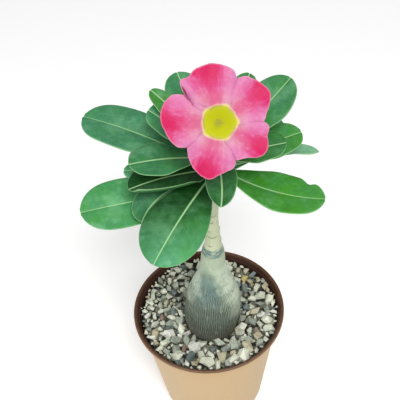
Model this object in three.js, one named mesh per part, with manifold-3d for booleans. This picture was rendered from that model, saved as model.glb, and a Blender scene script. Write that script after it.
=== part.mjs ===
// A young desert rose (adenium) in bloom, in a round plastic nursery pot topped with stone grit.
// Millimetres, +Z up. The origin is the centre of the pot's base, and the flower faces -Y.
import * as THREE from "three";
import { mergeVertices } from "three/addons/utils/BufferGeometryUtils.js";
import Module from "manifold-3d";

const wasm = await Module();
wasm.setup();

// Driving dimensions

const GAP = 0.3; // clearance between a piece and what carries it
const GOLDEN_ANGLE = 137.508;

const POT = {
  height: 66,
  rimRadius: 37.5,
  lipHeight: 2.4,
  lipWidth: 1.2, // across its flat top
  lipOverhang: 2.8,
  lipRound: 0.5,
  flare: 5.5, // height over which the wall's inside opens out to the lip
  baseRadius: 26.5,
  baseFillet: 1.5,
  wall: 0.8,
  floor: 1.4,
  drainHoles: 8,
  drainRadius: 2.6,
  drainCircle: 20.5,
  drainSides: 12,
  sides: 40,
};

const SOIL_TOP = 53;
const GRIT = {
  bed: 58.5, // height beside the trunk of the packed layer that the loose stones are sunk in
  edge: 62, // its height against the pot
  level: 0.45, // share of the radius over which the bed stays level before it rises
  stones: 88,
  stoneRadius: 3.6,
  sizeSpread: 0.4, // difference between the largest and smallest stones, as a share of the mean
  scatter: 12, // degrees over which a stone can lie off the spiral
  sink: 0.2, // share of a stone's radius that its centre lies above the bed
  wallRoom: 0.6, // share of a stone's radius that the outermost centres keep from the wall
  trunkRoom: 0.2, // share of a stone's radius that its centre may lie inside the trunk's skin
};
// A stone of radius 1: a box whose corners are knocked in or out, stretched and tilted
const STONE = {
  box: [1.3, 1.3, 1.1],
  knock: [0.62, 1.12],
  length: [0.9, 1.3],
  width: [0.7, 1],
  tilt: 1.4, // radians over which it can tilt
};

// The trunk's centreline, from its buried root to its growing tip
const TRUNK_LINE = [
  [1.2, -1.6, 32],
  [1.4, -2.2, 60],
  [2.6, -2.4, 78],
  [3.5, -2.6, 103],
  [4.1, -2.7, 118],
  [4.3, -2.8, 135],
  [6.6, -3.0, 174],
];
// Height and radius: tapering root, swollen caudex, neck, and green stem
const TRUNK_PROFILE = [
  [32, 2.2],
  [44, 7.6],
  [53, 11.8],
  [61, 13.3],
  [69, 13.9],
  [77, 13.3],
  [85, 11.4],
  [92, 8.8],
  [97, 6.8],
  [103, 5.9],
  [110, 5.3],
  [113, 4.6],
  [117, 3.8],
  [123, 3.2],
  [135, 2.8],
  [158, 3],
  [171, 2.9],
  [174, 1.6],
];
const TRUNK_SIDES = 20;
const TRUNK_STEP = 4;
const TRUNK_WRINKLE = 0.012; // share of the radius that the skin's folds stand out

// Each leaf, from the lowest up: its height on the stem, its heading from +X towards +Y and how far
// that turns by the tip, the pitch that it starts with and how far it bends down by the tip, its
// length and width, the roll that lifts its left edge, and the fold along its midrib. A taper of its
// own sets how sharply it narrows towards the stalk, and a dent is a notch in its left edge.
const LEAVES = [
  {
    name: "leaf_01",
    at: 155.6,
    heading: 184.5,
    turn: 65,
    rise: 8,
    droop: 20,
    length: 34.5,
    width: 16.2,
    roll: -8,
  },
  { name: "leaf_02", at: 150.5, heading: 190, rise: 6, droop: 9, length: 52, width: 23.5, roll: -18 },
  { name: "leaf_03", at: 153, heading: 104, rise: 2, droop: 14, length: 46, width: 23 },
  {
    name: "leaf_04",
    at: 158.9,
    heading: 237.5,
    turn: -2,
    rise: 3,
    droop: 29,
    length: 44.4,
    width: 25,
    taper: 1.15,
    roll: -16,
    fold: 6,
  },
  { name: "leaf_05", at: 153.8, heading: 47, rise: 8, droop: 5, length: 43, width: 18 },
  {
    name: "leaf_06",
    at: 161.8,
    heading: 346.5,
    rise: -35,
    droop: -40,
    length: 44.5,
    width: 23,
    taper: 1,
    dent: 0.24,
  },
  { name: "leaf_07", at: 158.8, heading: 170, rise: 3, droop: 7, length: 34, width: 13 },
  {
    name: "leaf_08",
    at: 161.8,
    heading: 193,
    turn: 18,
    rise: 10.5,
    droop: 6,
    length: 33,
    width: 20.4,
    taper: 0.65,
    roll: -3,
    fold: 16,
  },
  {
    name: "leaf_09",
    at: 161,
    heading: 23,
    turn: -24,
    rise: -1,
    droop: 4,
    length: 43,
    width: 15,
    roll: -24,
    fold: 16,
  },
  { name: "leaf_10", at: 163, heading: 156, rise: 24, droop: 22, length: 55, width: 25 },
  { name: "leaf_11", at: 164, heading: 14, rise: 14, droop: 8, length: 35, width: 20 },
  { name: "leaf_12", at: 164.5, heading: 76, rise: 16, droop: 10, length: 40, width: 19 },
  {
    name: "leaf_13",
    at: 171,
    heading: 281,
    turn: -21,
    rise: 5,
    droop: 14,
    length: 27,
    width: 12.8,
    taper: 0.9,
    roll: 6,
    fold: 16,
  },
  { name: "leaf_14", at: 167, heading: 356, rise: 23, droop: 12, length: 26.5, width: 18 },
  {
    name: "leaf_15",
    at: 168.6,
    heading: 194,
    turn: 4,
    rise: 22,
    droop: 17,
    length: 31.5,
    width: 17,
    roll: -10,
  },
  { name: "leaf_16", at: 168, heading: 35, rise: 24, droop: -6, length: 42, width: 22 },
  { name: "leaf_17", at: 168.5, heading: 109, rise: 32, droop: 12, length: 38, width: 18 },
  { name: "leaf_18", at: 170, heading: 152, rise: 36, droop: 12, length: 28, width: 19, fold: 20 },
  { name: "leaf_19", at: 170.5, heading: 61, rise: 30, droop: 14, length: 36, width: 13 },
  { name: "leaf_20", at: 171.8, heading: 141, rise: 44, droop: 20, length: 32, width: 11 },
  { name: "leaf_21", at: 171.5, heading: 90, rise: 54, droop: 10, length: 24, width: 9, fold: 26 },
];
const LEAF = {
  rows: 10,
  columns: 6,
  blade: 0.8, // thickness at the margin
  rib: 0.9, // how much thicker the midrib is at the petiole
  petiole: 1.1, // half width of the stalk
  fold: 10,
  curl: 0.12, // how far the margins bend back down, as a share of the half width
  baseTaper: 1.2,
  tipTaper: 0.55,
  lastRow: 0.995, // place along the leaf that gives the tip its half width
  dentPlace: 0.84,
  dentSpread: 0.05,
};

// The flower: centre of its mouth, the way it faces, and its trumpet
const FLOWER = {
  mouth: [8.7, -19, 199],
  elevation: 40,
  heading: -90,
  throatRadius: 6.1,
  tubeLength: 20,
  petal: 0.8, // thickness
  step: 1.3, // how far each lobe's trailing edge lies over the next lobe
  dish: [-1.2, 2.6, -1.9], // height of the lobes over the mouth: at the throat, its slope and bend
  limbRows: 5,
};
// Place of each column of corners across a lobe
const LOBE_COLUMNS = [0, 0.08, 0.19, 0.31, 0.43, 0.55, 0.67, 0.79, 0.89, 0.97];
// Each lobe's outline, from notch to notch: the angle round the mouth and the reach from the middle
const LOBES = [
  [
    [64.5, 16.9],
    [72, 19.3],
    [84, 20.4],
    [94, 21],
    [121, 20],
    [131, 18.6],
    [138, 16.4],
  ],
  [
    [139.5, 16.4],
    [145, 19.2],
    [155, 20.9],
    [170, 21.3],
    [187, 19.8],
    [206, 17.5],
    [213, 15],
  ],
  [
    [214.5, 15],
    [224, 16.9],
    [238, 19.2],
    [250, 20.3],
    [260, 20],
    [275, 17.9],
    [284, 17],
    [288.5, 15.3],
  ],
  [
    [290, 15],
    [304, 16.1],
    [314, 18.8],
    [321, 19.9],
    [327, 19.6],
    [340, 17.9],
    [352, 17.6],
    [356.5, 16],
  ],
  [
    [357.5, 15.9],
    [366, 17.1],
    [381, 20.1],
    [390, 20.9],
    [407, 19.5],
    [417, 18.7],
    [423.5, 16.9],
  ],
];
// The tube from its foot to the throat: shares of the throat's radius and of the tube's length
const TUBE = [
  [0.3, -1],
  [0.52, -0.78],
  [0.72, -0.5],
  [0.88, -0.24],
  [1, -0.06],
];
const CALYX = {
  stalkRadius: 1.3,
  neckRadius: 1.5, // the stalk's radius under the cup
  stalkSides: 12,
  stalkSteps: 10,
  stalkBow: [0.4, 1, 1], // how far the stalk bows out halfway
  neckLength: 5, // length of stalk in line with the tube
  cupSides: 15,
  // Radius and height against the tube's foot; the last two radii are added to the tube's own
  cupFoot: [1.2, -2.2],
  cupSide: [0.9, -1],
  cupRim: [1.1, 0],
  sepals: 5,
  sepalFoot: -0.6,
  sepalLength: 7,
  sepalPoint: 0.2, // length of the tip beyond the last row
  sepalSpread: 0.42, // half width at the foot, in radians round the tube
  sepalEnd: 0.08, // the same at the tip
  sepalRadius: [0.8, 2.7, 2.9], // added to the tube's: at the foot, last row and tip
  sepalThickness: 0.7,
};
// The cone of anthers: height against the mouth and radius, with a groove between its ribs
const ANTHERS = {
  ribs: 5,
  groove: 0.72,
  profile: [
    [-19.7, 0.9],
    [-15, 1.5],
    [-11, 1.2],
    [-8, 0.35],
  ],
};

const material = (colour, roughness) =>
  new THREE.MeshStandardMaterial({ color: colour, roughness, metalness: 0 });
const MATERIALS = {
  pot: material(0x8f5a45, 0.5),
  soil: material(0x2e2a25, 0.95),
  grit: material(0xb9b7a6, 0.9),
  trunk: material(0xb3b7a2, 0.7),
  leaf: material(0x3f8a50, 0.4),
  petal: material(0xe0609a, 0.55),
  calyx: material(0x8ab36a, 0.5),
  anthers: material(0xd8c860, 0.6),
};

// Small helpers

const radians = THREE.MathUtils.degToRad;
const lerp = THREE.MathUtils.lerp;
const smooth = THREE.MathUtils.smoothstep;
const point = (x, y, z) => new THREE.Vector3(x, y, z);
const turns = (share) => share * 2 * Math.PI;

/** Repeatable random numbers from 0 to 1. */
function seeded(seed) {
  let state = seed;
  return () => {
    state = (state * 1664525 + 1013904223) % 4294967296;
    return state / 4294967296;
  };
}

/** The value at a place, on a smooth curve through rows that each hold a place and its value. */
function onCurve(rows, place) {
  const last = rows.length - 2;
  const above = rows.findIndex(([start]) => start > place);
  const k = above < 0 ? last : Math.max(0, above - 1);
  const at = (i) => rows[THREE.MathUtils.clamp(i, 0, last + 1)];
  const slope = (i) => (at(i + 1)[1] - at(i - 1)[1]) / (at(i + 1)[0] - at(i - 1)[0]);
  const span = at(k + 1)[0] - at(k)[0];
  const t = THREE.MathUtils.clamp((place - at(k)[0]) / span, 0, 1);
  const [t2, t3] = [t * t, t * t * t];
  return (
    (2 * t3 - 3 * t2 + 1) * at(k)[1] +
    (t3 - 2 * t2 + t) * span * slope(k) +
    (3 * t2 - 2 * t3) * at(k + 1)[1] +
    (t3 - t2) * span * slope(k + 1)
  );
}

/** A geometry from a list of corners and a list of triangles. */
function geometryOf(corners, triangles) {
  const positions = corners.flatMap((p) => [p.x, p.y, p.z]);
  return new THREE.BufferGeometry()
    .setAttribute("position", new THREE.Float32BufferAttribute(positions, 3))
    .setIndex(triangles);
}

/** The closed skin over a stack of rings, each with as many corners, with both ends capped. */
function skin(rings) {
  const sides = rings[0].length;
  const middle = (ring) => ring.reduce((sum, p) => sum.add(p), point(0, 0, 0)).divideScalar(sides);
  const corners = [...rings.flat(), middle(rings[0]), middle(rings.at(-1))];
  const first = rings.length * sides;
  const top = first - sides;
  const triangles = [];
  for (let k = 0; k < sides; k++) {
    const next = (k + 1) % sides;
    for (let low = 0; low < top; low += sides) {
      const high = low + sides;
      triangles.push(low + k, low + next, high + next);
      triangles.push(low + k, high + next, high + k);
    }
    triangles.push(first, next, k);
    triangles.push(first + 1, top + k, top + next);
  }
  return geometryOf(corners, triangles);
}

/** The closed slab between two like grids, rows by columns, with a tip beyond the last row. */
function slab(upper, lower, upperTip, lowerTip) {
  const rows = upper.length;
  const columns = upper[0].length;
  const face = rows * columns;
  const last = columns - 1;
  const corners = [...upper.flat(), ...lower.flat(), upperTip, lowerTip];
  const top = (i, j) => (i === rows ? 2 * face : i * columns + j);
  const bottom = (i, j) => (i === rows ? 2 * face + 1 : face + i * columns + j);
  const triangles = [];
  for (let i = 0; i < rows; i++) {
    for (let j = 0; j < last; j++) {
      triangles.push(top(i, j), top(i + 1, j + 1), top(i, j + 1));
      triangles.push(bottom(i, j), bottom(i, j + 1), bottom(i + 1, j + 1));
      if (i + 1 === rows) continue;
      triangles.push(top(i, j), top(i + 1, j), top(i + 1, j + 1));
      triangles.push(bottom(i, j), bottom(i + 1, j + 1), bottom(i + 1, j));
    }
    triangles.push(top(i, 0), bottom(i, 0), bottom(i + 1, 0));
    triangles.push(top(i, 0), bottom(i + 1, 0), top(i + 1, 0));
    triangles.push(top(i, last), bottom(i + 1, last), bottom(i, last));
    triangles.push(top(i, last), top(i + 1, last), bottom(i + 1, last));
  }
  for (let j = 0; j < last; j++) {
    triangles.push(top(0, j), top(0, j + 1), bottom(0, j + 1));
    triangles.push(top(0, j), bottom(0, j + 1), bottom(0, j));
  }
  return geometryOf(corners, triangles);
}

/** A geometry as a solid that can be cut and joined. */
function solid(geometry) {
  const bare = geometry.clone();
  bare.deleteAttribute("normal");
  bare.deleteAttribute("uv");
  const merged = mergeVertices(bare, 1e-4);
  return new wasm.Manifold(
    new wasm.Mesh({
      numProp: 3,
      vertProperties: merged.attributes.position.array,
      triVerts: new Uint32Array(merged.index.array),
    }),
  );
}

/** A solid as a geometry that can be shown. */
function shown(made) {
  const mesh = made.getMesh();
  return new THREE.BufferGeometry()
    .setAttribute("position", new THREE.BufferAttribute(mesh.vertProperties, 3))
    .setIndex(new THREE.BufferAttribute(mesh.triVerts, 1));
}

function piece(name, geometry, finish) {
  const mesh = new THREE.Mesh(geometry, finish);
  mesh.name = name;
  return mesh;
}

/** A solid of revolution about +Z from radius and height pairs that start and end on the axis. */
function turned(profile, sides) {
  const outline = profile.map(([radius, height]) => new THREE.Vector2(radius, height));
  return new THREE.LatheGeometry(outline, sides).rotateX(Math.PI / 2);
}

// The pot

/** The pot's outer radius at a height, below the lip. */
function potRadius(z) {
  return lerp(POT.baseRadius, POT.rimRadius - POT.lipOverhang, z / (POT.height - POT.lipHeight));
}

/** The pot's contents from a height up to a dished top, kept clear of the wall. */
function potFilling(bottom, middle, edge = middle) {
  const inner = (z) => potRadius(z) - POT.wall - GAP;
  const profile = [
    [0, bottom],
    [inner(bottom), bottom],
    [inner(edge), edge],
    [GRIT.level * inner(edge), middle],
    [0, middle],
  ];
  return turned(profile, POT.sides);
}

/** The pot's tapered wall, floor and lip. */
function potShell() {
  const { height, rimRadius, lipHeight, lipWidth, lipRound, flare } = POT;
  const { baseRadius, baseFillet, wall, floor } = POT;
  const lipBottom = height - lipHeight;
  const mouth = rimRadius - lipWidth;
  const profile = [
    [0, 0],
    [baseRadius - baseFillet, 0],
    [potRadius(baseFillet), baseFillet],
    [potRadius(lipBottom), lipBottom],
    [rimRadius - lipRound, lipBottom],
    [rimRadius, lipBottom + lipRound],
    [rimRadius, height - lipRound],
    [rimRadius - lipRound, height],
    [mouth + lipRound, height],
    [mouth, height - lipRound],
    [potRadius(height - flare) - wall, height - flare],
    [potRadius(floor) - wall, floor],
    [0, floor],
  ];
  return turned(profile, POT.sides);
}

function pot() {
  let made = solid(potShell());
  for (let k = 0; k < POT.drainHoles; k++) {
    const angle = turns(k / POT.drainHoles);
    const [x, y] = [POT.drainCircle * Math.cos(angle), POT.drainCircle * Math.sin(angle)];
    const hole = new THREE.CylinderGeometry(POT.drainRadius, POT.drainRadius, 4 * POT.floor, POT.drainSides);
    made = made.subtract(solid(hole.rotateX(Math.PI / 2).translate(x, y, 0)));
  }
  return piece("pot", shown(made), MATERIALS.pot);
}

// The trunk

const trunkCurve = new THREE.CatmullRomCurve3(TRUNK_LINE.map(([x, y, z]) => point(x, y, z)));
const trunkLine = trunkCurve.getPoints(400);

/** Centre of the trunk at a height. */
function trunkCentre(z) {
  const above = trunkLine.findIndex((p) => p.z >= z);
  if (above <= 0) return point(trunkLine[0].x, trunkLine[0].y, z);
  const [low, high] = [trunkLine[above - 1], trunkLine[above]];
  return low.clone().lerp(high, (z - low.z) / (high.z - low.z));
}

/** The trunk's radius at a height. */
function trunkRadius(z) {
  return onCurve(TRUNK_PROFILE, z);
}

/** The trunk's skin, or the hole that it stands in when a clearance is given. */
function trunkShape(clearance = 0) {
  const [bottom, top] = [TRUNK_PROFILE[0][0], TRUNK_PROFILE.at(-1)[0]];
  const steps = Math.round((top - bottom) / TRUNK_STEP);
  const rings = [];
  for (let k = 0; k <= steps; k++) {
    const z = lerp(bottom - clearance, top + clearance, k / steps);
    const centre = trunkCentre(z);
    const ring = [];
    for (let side = 0; side < TRUNK_SIDES; side++) {
      const angle = turns(side / TRUNK_SIDES);
      const folds = Math.sin(5 * angle + z / 6) * Math.cos(3 * angle - z / 4);
      const radius = trunkRadius(z) * (1 + TRUNK_WRINKLE * folds) + clearance;
      ring.push(point(centre.x + radius * Math.cos(angle), centre.y + radius * Math.sin(angle), z));
    }
    rings.push(ring);
  }
  return skin(rings);
}

// The soil and the grit over it

function soil() {
  const made = solid(potFilling(POT.floor + GAP, SOIL_TOP)).subtract(solid(trunkShape(GAP)));
  return piece("potting_mix", shown(made), MATERIALS.soil);
}

/** One angular stone about the origin. */
function stone(random, radius) {
  const cube = new THREE.BoxGeometry(...STONE.box);
  const shape = mergeVertices(cube.deleteAttribute("normal").deleteAttribute("uv"));
  const corners = shape.attributes.position;
  const knock = () => lerp(...STONE.knock, random());
  for (let i = 0; i < corners.count; i++) {
    const x = corners.getX(i) * knock();
    const y = corners.getY(i) * knock();
    corners.setXYZ(i, x, y, corners.getZ(i) * knock());
  }
  const tilt = () => (random() - 0.5) * STONE.tilt;
  return shape
    .scale(radius * lerp(...STONE.length, random()), radius * lerp(...STONE.width, random()), radius)
    .rotateX(tilt())
    .rotateY(tilt())
    .rotateZ(random() * Math.PI);
}

/** Stones laid out in a sunflower's spiral, sunk in a packed bed and cut clear of pot and trunk. */
function grit() {
  const random = seeded(7);
  const outer = potRadius(GRIT.edge) - POT.wall - GRIT.stoneRadius * GRIT.wallRoom;
  let made = solid(potFilling(SOIL_TOP + GAP, GRIT.bed, GRIT.edge));
  for (let k = 0; k < GRIT.stones; k++) {
    const reach = outer * Math.sqrt((k + 0.5) / GRIT.stones);
    const angle = radians(k * GOLDEN_ANGLE + GRIT.scatter * (random() - 0.5));
    const radius = GRIT.stoneRadius * (1 + GRIT.sizeSpread * (random() - 0.5));
    const bed = lerp(GRIT.bed, GRIT.edge, smooth(reach / outer, GRIT.level, 1));
    const height = bed + radius * GRIT.sink;
    const [x, y] = [reach * Math.cos(angle), reach * Math.sin(angle)];
    const shape = stone(random, radius).translate(x, y, height);
    const centre = trunkCentre(height);
    const fromTrunk = Math.hypot(x - centre.x, y - centre.y);
    if (fromTrunk > trunkRadius(height) - radius * GRIT.trunkRoom) made = made.add(solid(shape));
  }
  const inside = solid(potFilling(SOIL_TOP + GAP, POT.height));
  made = made.intersect(inside).subtract(solid(trunkShape(GAP)));
  const bodies = made.decompose().sort((a, b) => b.volume() - a.volume());
  return piece("grit", shown(bodies[0]), MATERIALS.grit);
}

// The leaves

/** A leaf's half width along its length: a narrow stalk, widest past the middle, rounded at the tip. */
function leafHalfWidth(leaf, u, side) {
  const { tipTaper, dentPlace, dentSpread } = LEAF;
  const baseTaper = leaf.taper ?? LEAF.baseTaper;
  const widest = baseTaper / (baseTaper + tipTaper);
  const shape = (t) => t ** baseTaper * (1 - t) ** tipTaper;
  const dent = side > 0 ? (leaf.dent ?? 0) * Math.exp(-(((u - dentPlace) / dentSpread) ** 2)) : 0;
  const blade = ((1 - dent) * (leaf.width / 2) * shape(u)) / shape(widest);
  return Math.hypot(blade, LEAF.petiole * (1 - u));
}

/** The way that a leaf's midrib runs at a place along it, and the level direction to its left. */
function leafDirection(leaf, u) {
  const pitch = radians(leaf.rise - leaf.droop * u);
  const heading = radians(leaf.heading + (leaf.turn ?? 0) * u);
  const [cos, sin] = [Math.cos(heading), Math.sin(heading)];
  return {
    ahead: point(Math.cos(pitch) * cos, Math.cos(pitch) * sin, Math.sin(pitch)),
    level: point(-sin, cos, 0),
  };
}

/** Where a leaf meets the stem, just clear of it. */
function leafStart(leaf) {
  const slant = Math.abs(Math.sin(radians(leaf.rise)));
  const reach = trunkRadius(leaf.at) + GAP + ((LEAF.blade + LEAF.rib) / 2) * slant;
  const out = radians(leaf.heading);
  return trunkCentre(leaf.at).add(point(Math.cos(out), Math.sin(out), 0).multiplyScalar(reach));
}

/** The leaf's midrib: points and frames from the stem outwards, closer together towards the tip. */
function leafLine(leaf) {
  const line = [];
  let here = leafStart(leaf);
  let before = 0;
  for (let k = 0; k <= LEAF.rows; k++) {
    const u = Math.sin(((k / LEAF.rows) * Math.PI) / 2);
    const between = leafDirection(leaf, (u + before) / 2);
    here = here.clone().addScaledVector(between.ahead, leaf.length * (u - before));
    const { ahead, level } = leafDirection(leaf, u);
    const left = level.applyAxisAngle(ahead, radians(leaf.roll ?? 0));
    line.push({ u, here, left, up: ahead.clone().cross(left) });
    before = u;
  }
  return line;
}

/** A leaf's blade, folded up along a midrib that is thickest at the stalk. */
function leafShape(leaf) {
  const line = leafLine(leaf);
  const fold = radians(leaf.fold ?? LEAF.fold);
  const upper = [];
  const lower = [];
  const place = ({ u, here, left, up }, v, side) => {
    const half = leafHalfWidth(leaf, Math.min(u, LEAF.lastRow), v);
    const height = half * (Math.abs(v) * Math.sin(fold) - LEAF.curl * v * v);
    const thick = LEAF.blade + LEAF.rib * (1 - u) * (1 - Math.abs(v)) ** 2;
    return here
      .clone()
      .addScaledVector(left, half * v * Math.cos(fold))
      .addScaledVector(up, height + (side * thick) / 2);
  };
  const across = Array.from({ length: LEAF.columns + 1 }, (_, j) => (2 * j) / LEAF.columns - 1);
  for (const station of line.slice(0, -1)) {
    upper.push(across.map((v) => place(station, v, 1)));
    lower.push(across.map((v) => place(station, v, -1)));
  }
  const tip = line.at(-1);
  return slab(upper, lower, place(tip, 0, 1), place(tip, 0, -1));
}

// The flower

const flowerFrame = (() => {
  const [heading, elevation] = [radians(FLOWER.heading), radians(FLOWER.elevation)];
  const axis = point(
    Math.cos(elevation) * Math.cos(heading),
    Math.cos(elevation) * Math.sin(heading),
    Math.sin(elevation),
  );
  const right = point(0, 0, 1).cross(axis).normalize();
  return { mouth: point(...FLOWER.mouth), axis, right, top: axis.clone().cross(right) };
})();

/** A point of the flower from its radius and angle round the axis and its height above the mouth. */
function inFlower(radius, angle, height) {
  const { mouth, axis, right, top } = flowerFrame;
  return mouth
    .clone()
    .addScaledVector(right, radius * Math.cos(angle))
    .addScaledVector(top, radius * Math.sin(angle))
    .addScaledVector(axis, height);
}

/** A ring round the flower's axis, its radius given for each corner. */
function flowerRing(sides, radius, height) {
  return Array.from({ length: sides }, (_, k) => inFlower(radius(k), turns(k / sides), height));
}

/** Columns round the flower: angle, reach of the edge there, and place between lobe edges. */
function petalColumns() {
  return LOBES.flatMap((outline) =>
    LOBE_COLUMNS.map((t) => {
      const across = t / LOBE_COLUMNS.at(-1);
      const angle = lerp(outline[0][0], outline.at(-1)[0], across);
      return { angle: radians(angle), reach: onCurve(outline, angle), across };
    }),
  );
}

/** One ring of the lobes on the inner or outer face, at a share of the way out from the throat. */
function limbRing(columns, t, side) {
  const { throatRadius, petal, step, dish } = FLOWER;
  const height = dish[0] + dish[1] * t + dish[2] * t * t;
  return columns.map(({ angle, reach, across }) => {
    const overlap = step * (across - 0.5) * smooth(t, 0, 0.8);
    return inFlower(lerp(throatRadius, reach, t ** 0.9), angle, height + overlap + (side * petal) / 2);
  });
}

/** The funnel-shaped tube that opens into five overlapping lobes. */
function corolla() {
  const { throatRadius, tubeLength, petal, limbRows } = FLOWER;
  const columns = petalColumns();
  const tubeWall = (out) =>
    TUBE.map(([radius, height]) =>
      columns.map(({ angle }) => inFlower(throatRadius * radius + out, angle, tubeLength * height - out)),
    );
  const inner = tubeWall(0);
  const outer = tubeWall(petal);
  for (let k = 1; k <= limbRows; k++) {
    inner.push(limbRing(columns, k / limbRows, 1));
    outer.push(limbRing(columns, k / limbRows, -1));
  }
  return piece("corolla", skin([...outer, ...inner.reverse()]), MATERIALS.petal);
}

/** A round stalk along a curve, its radius changing evenly from start to end. */
function stalk(curve, startRadius, endRadius, sides, steps) {
  const frames = curve.computeFrenetFrames(steps, false);
  const rings = [];
  for (let k = 0; k <= steps; k++) {
    const centre = curve.getPointAt(k / steps);
    const radius = lerp(startRadius, endRadius, k / steps);
    const ring = Array.from({ length: sides }, (_, side) =>
      centre
        .clone()
        .addScaledVector(frames.normals[k], radius * Math.cos(turns(side / sides)))
        .addScaledVector(frames.binormals[k], radius * Math.sin(turns(side / sides))),
    );
    rings.push(ring);
  }
  return skin(rings);
}

/** The flower's stalk, from just over the stem's tip to the cup. */
function flowerStalk(base) {
  const tip = TRUNK_PROFILE.at(-1)[0];
  const seat = trunkCentre(tip).add(point(0, 0, 3 * GAP));
  const neck = inFlower(0, 0, base - CALYX.neckLength);
  const bow = seat.clone().lerp(neck, 0.5).add(point(...CALYX.stalkBow));
  const curve = new THREE.CatmullRomCurve3([seat, bow, neck, inFlower(0, 0, base + CALYX.cupSide[1])]);
  return stalk(curve, CALYX.stalkRadius, CALYX.neckRadius, CALYX.stalkSides, CALYX.stalkSteps);
}

/** One pointed sepal that stands beside the tube. */
function sepalShape(angle, base, rim) {
  const { sepalFoot, sepalLength, sepalPoint, sepalSpread, sepalEnd, sepalRadius, sepalThickness } = CALYX;
  const foot = base + sepalFoot;
  const face = (out) =>
    [0, 0.35, 0.7, 1].map((t) =>
      [-1, 0, 1].map((v) => {
        const half = sepalSpread * (1 - t) ** 0.7 + sepalEnd;
        const radius = rim + lerp(sepalRadius[0], sepalRadius[1], t) + out;
        return inFlower(radius, angle - v * half, foot + sepalLength * t);
      }),
    );
  const end = (out) => inFlower(rim + sepalRadius[2] + out, angle, foot + sepalLength + sepalPoint);
  const out = sepalThickness / 2;
  return slab(face(out), face(-out), end(out), end(-out));
}

/** The flower's stalk with the green cup and five sepals that hold the tube. */
function calyx() {
  const { cupSides, cupFoot, cupSide, cupRim, sepals } = CALYX;
  const base = -FLOWER.tubeLength - FLOWER.petal - GAP;
  const rim = TUBE[0][0] * FLOWER.throatRadius + FLOWER.petal;
  const cup = [
    flowerRing(cupSides, () => cupFoot[0], base + cupFoot[1]),
    flowerRing(cupSides, () => rim + cupSide[0], base + cupSide[1]),
    flowerRing(cupSides, () => rim + cupRim[0], base + cupRim[1]),
  ];
  let made = solid(flowerStalk(base)).add(solid(skin(cup)));
  for (let k = 0; k < sepals; k++)
    made = made.add(solid(sepalShape(turns((k + 0.5) / sepals), base, rim)));
  return piece("calyx_and_stalk", shown(made), MATERIALS.calyx);
}

/** The ribbed cone of anthers that stands in the throat. */
function anthers() {
  const { ribs, groove, profile } = ANTHERS;
  const rings = profile.map(([height, radius]) =>
    flowerRing(2 * ribs, (k) => radius * (k % 2 ? groove : 1), height),
  );
  return piece("anther_cone", skin(rings), MATERIALS.anthers);
}

// The whole plant in its pot

const plant = new THREE.Group();
plant.add(pot(), soil(), grit());
plant.add(piece("trunk", trunkShape(), MATERIALS.trunk));
for (const leaf of LEAVES) plant.add(piece(leaf.name, leafShape(leaf), MATERIALS.leaf));
plant.add(corolla(), calyx(), anthers());

export default plant;
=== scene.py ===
"""A young desert rose in bloom, in a nursery pot topped with stone grit.

It is run as a script. Each operator dresses one piece, or one group of like pieces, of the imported
model. Sizes inside the functions are in millimetres, and corners are placed in metres.
"""

import math
import random
from functools import cached_property
from types import SimpleNamespace

import bmesh
import bpy
from bpy.props import FloatProperty, FloatVectorProperty, IntProperty, PointerProperty
from mathutils import Matrix, Quaternion, Vector, noise


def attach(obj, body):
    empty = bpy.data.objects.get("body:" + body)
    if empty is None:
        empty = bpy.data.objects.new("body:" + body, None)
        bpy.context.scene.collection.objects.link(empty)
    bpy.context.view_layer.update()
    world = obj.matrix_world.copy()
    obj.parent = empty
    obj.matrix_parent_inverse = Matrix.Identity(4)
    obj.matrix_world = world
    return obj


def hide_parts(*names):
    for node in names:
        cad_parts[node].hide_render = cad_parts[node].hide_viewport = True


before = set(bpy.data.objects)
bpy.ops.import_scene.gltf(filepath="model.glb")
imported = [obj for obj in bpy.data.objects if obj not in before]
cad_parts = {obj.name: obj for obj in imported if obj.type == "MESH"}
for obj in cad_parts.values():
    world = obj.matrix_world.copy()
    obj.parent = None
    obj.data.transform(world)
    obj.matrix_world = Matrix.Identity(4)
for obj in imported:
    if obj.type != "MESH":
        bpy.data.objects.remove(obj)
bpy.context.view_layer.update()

bl_info = {
    "name": "Potted Desert Rose",
    "version": (1, 0, 0),
    "blender": (4, 5, 0),
    "location": "3D View > Sidebar > Desert Rose",
    "description": "Dresses a potted desert rose: pot, grit, trunk, leaves and bloom",
    "category": "Object",
}

MM = 0.001
BODY = "root"
TURN = 2 * math.pi
GOLDEN_ANGLE = math.radians(137.508)

# The trunk: height and centre, then height and radius
TRUNK_LINE = (
    (32, 1.2, -1.6), (60, 1.4, -2.2), (78, 2.6, -2.4), (103, 3.5, -2.6), (118, 4.1, -2.7),
    (135, 4.3, -2.8), (174, 6.6, -3.0),
)
TRUNK_RADII = (
    (32, 2.2), (44, 7.6), (53, 11.8), (61, 13.3), (69, 13.9), (77, 13.3), (85, 11.4), (92, 8.8),
    (97, 6.8), (103, 5.9), (110, 5.3), (113, 4.6), (117, 3.8), (123, 3.2), (135, 2.8), (158, 3),
    (171, 2.9), (174, 1.6),
)

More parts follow.
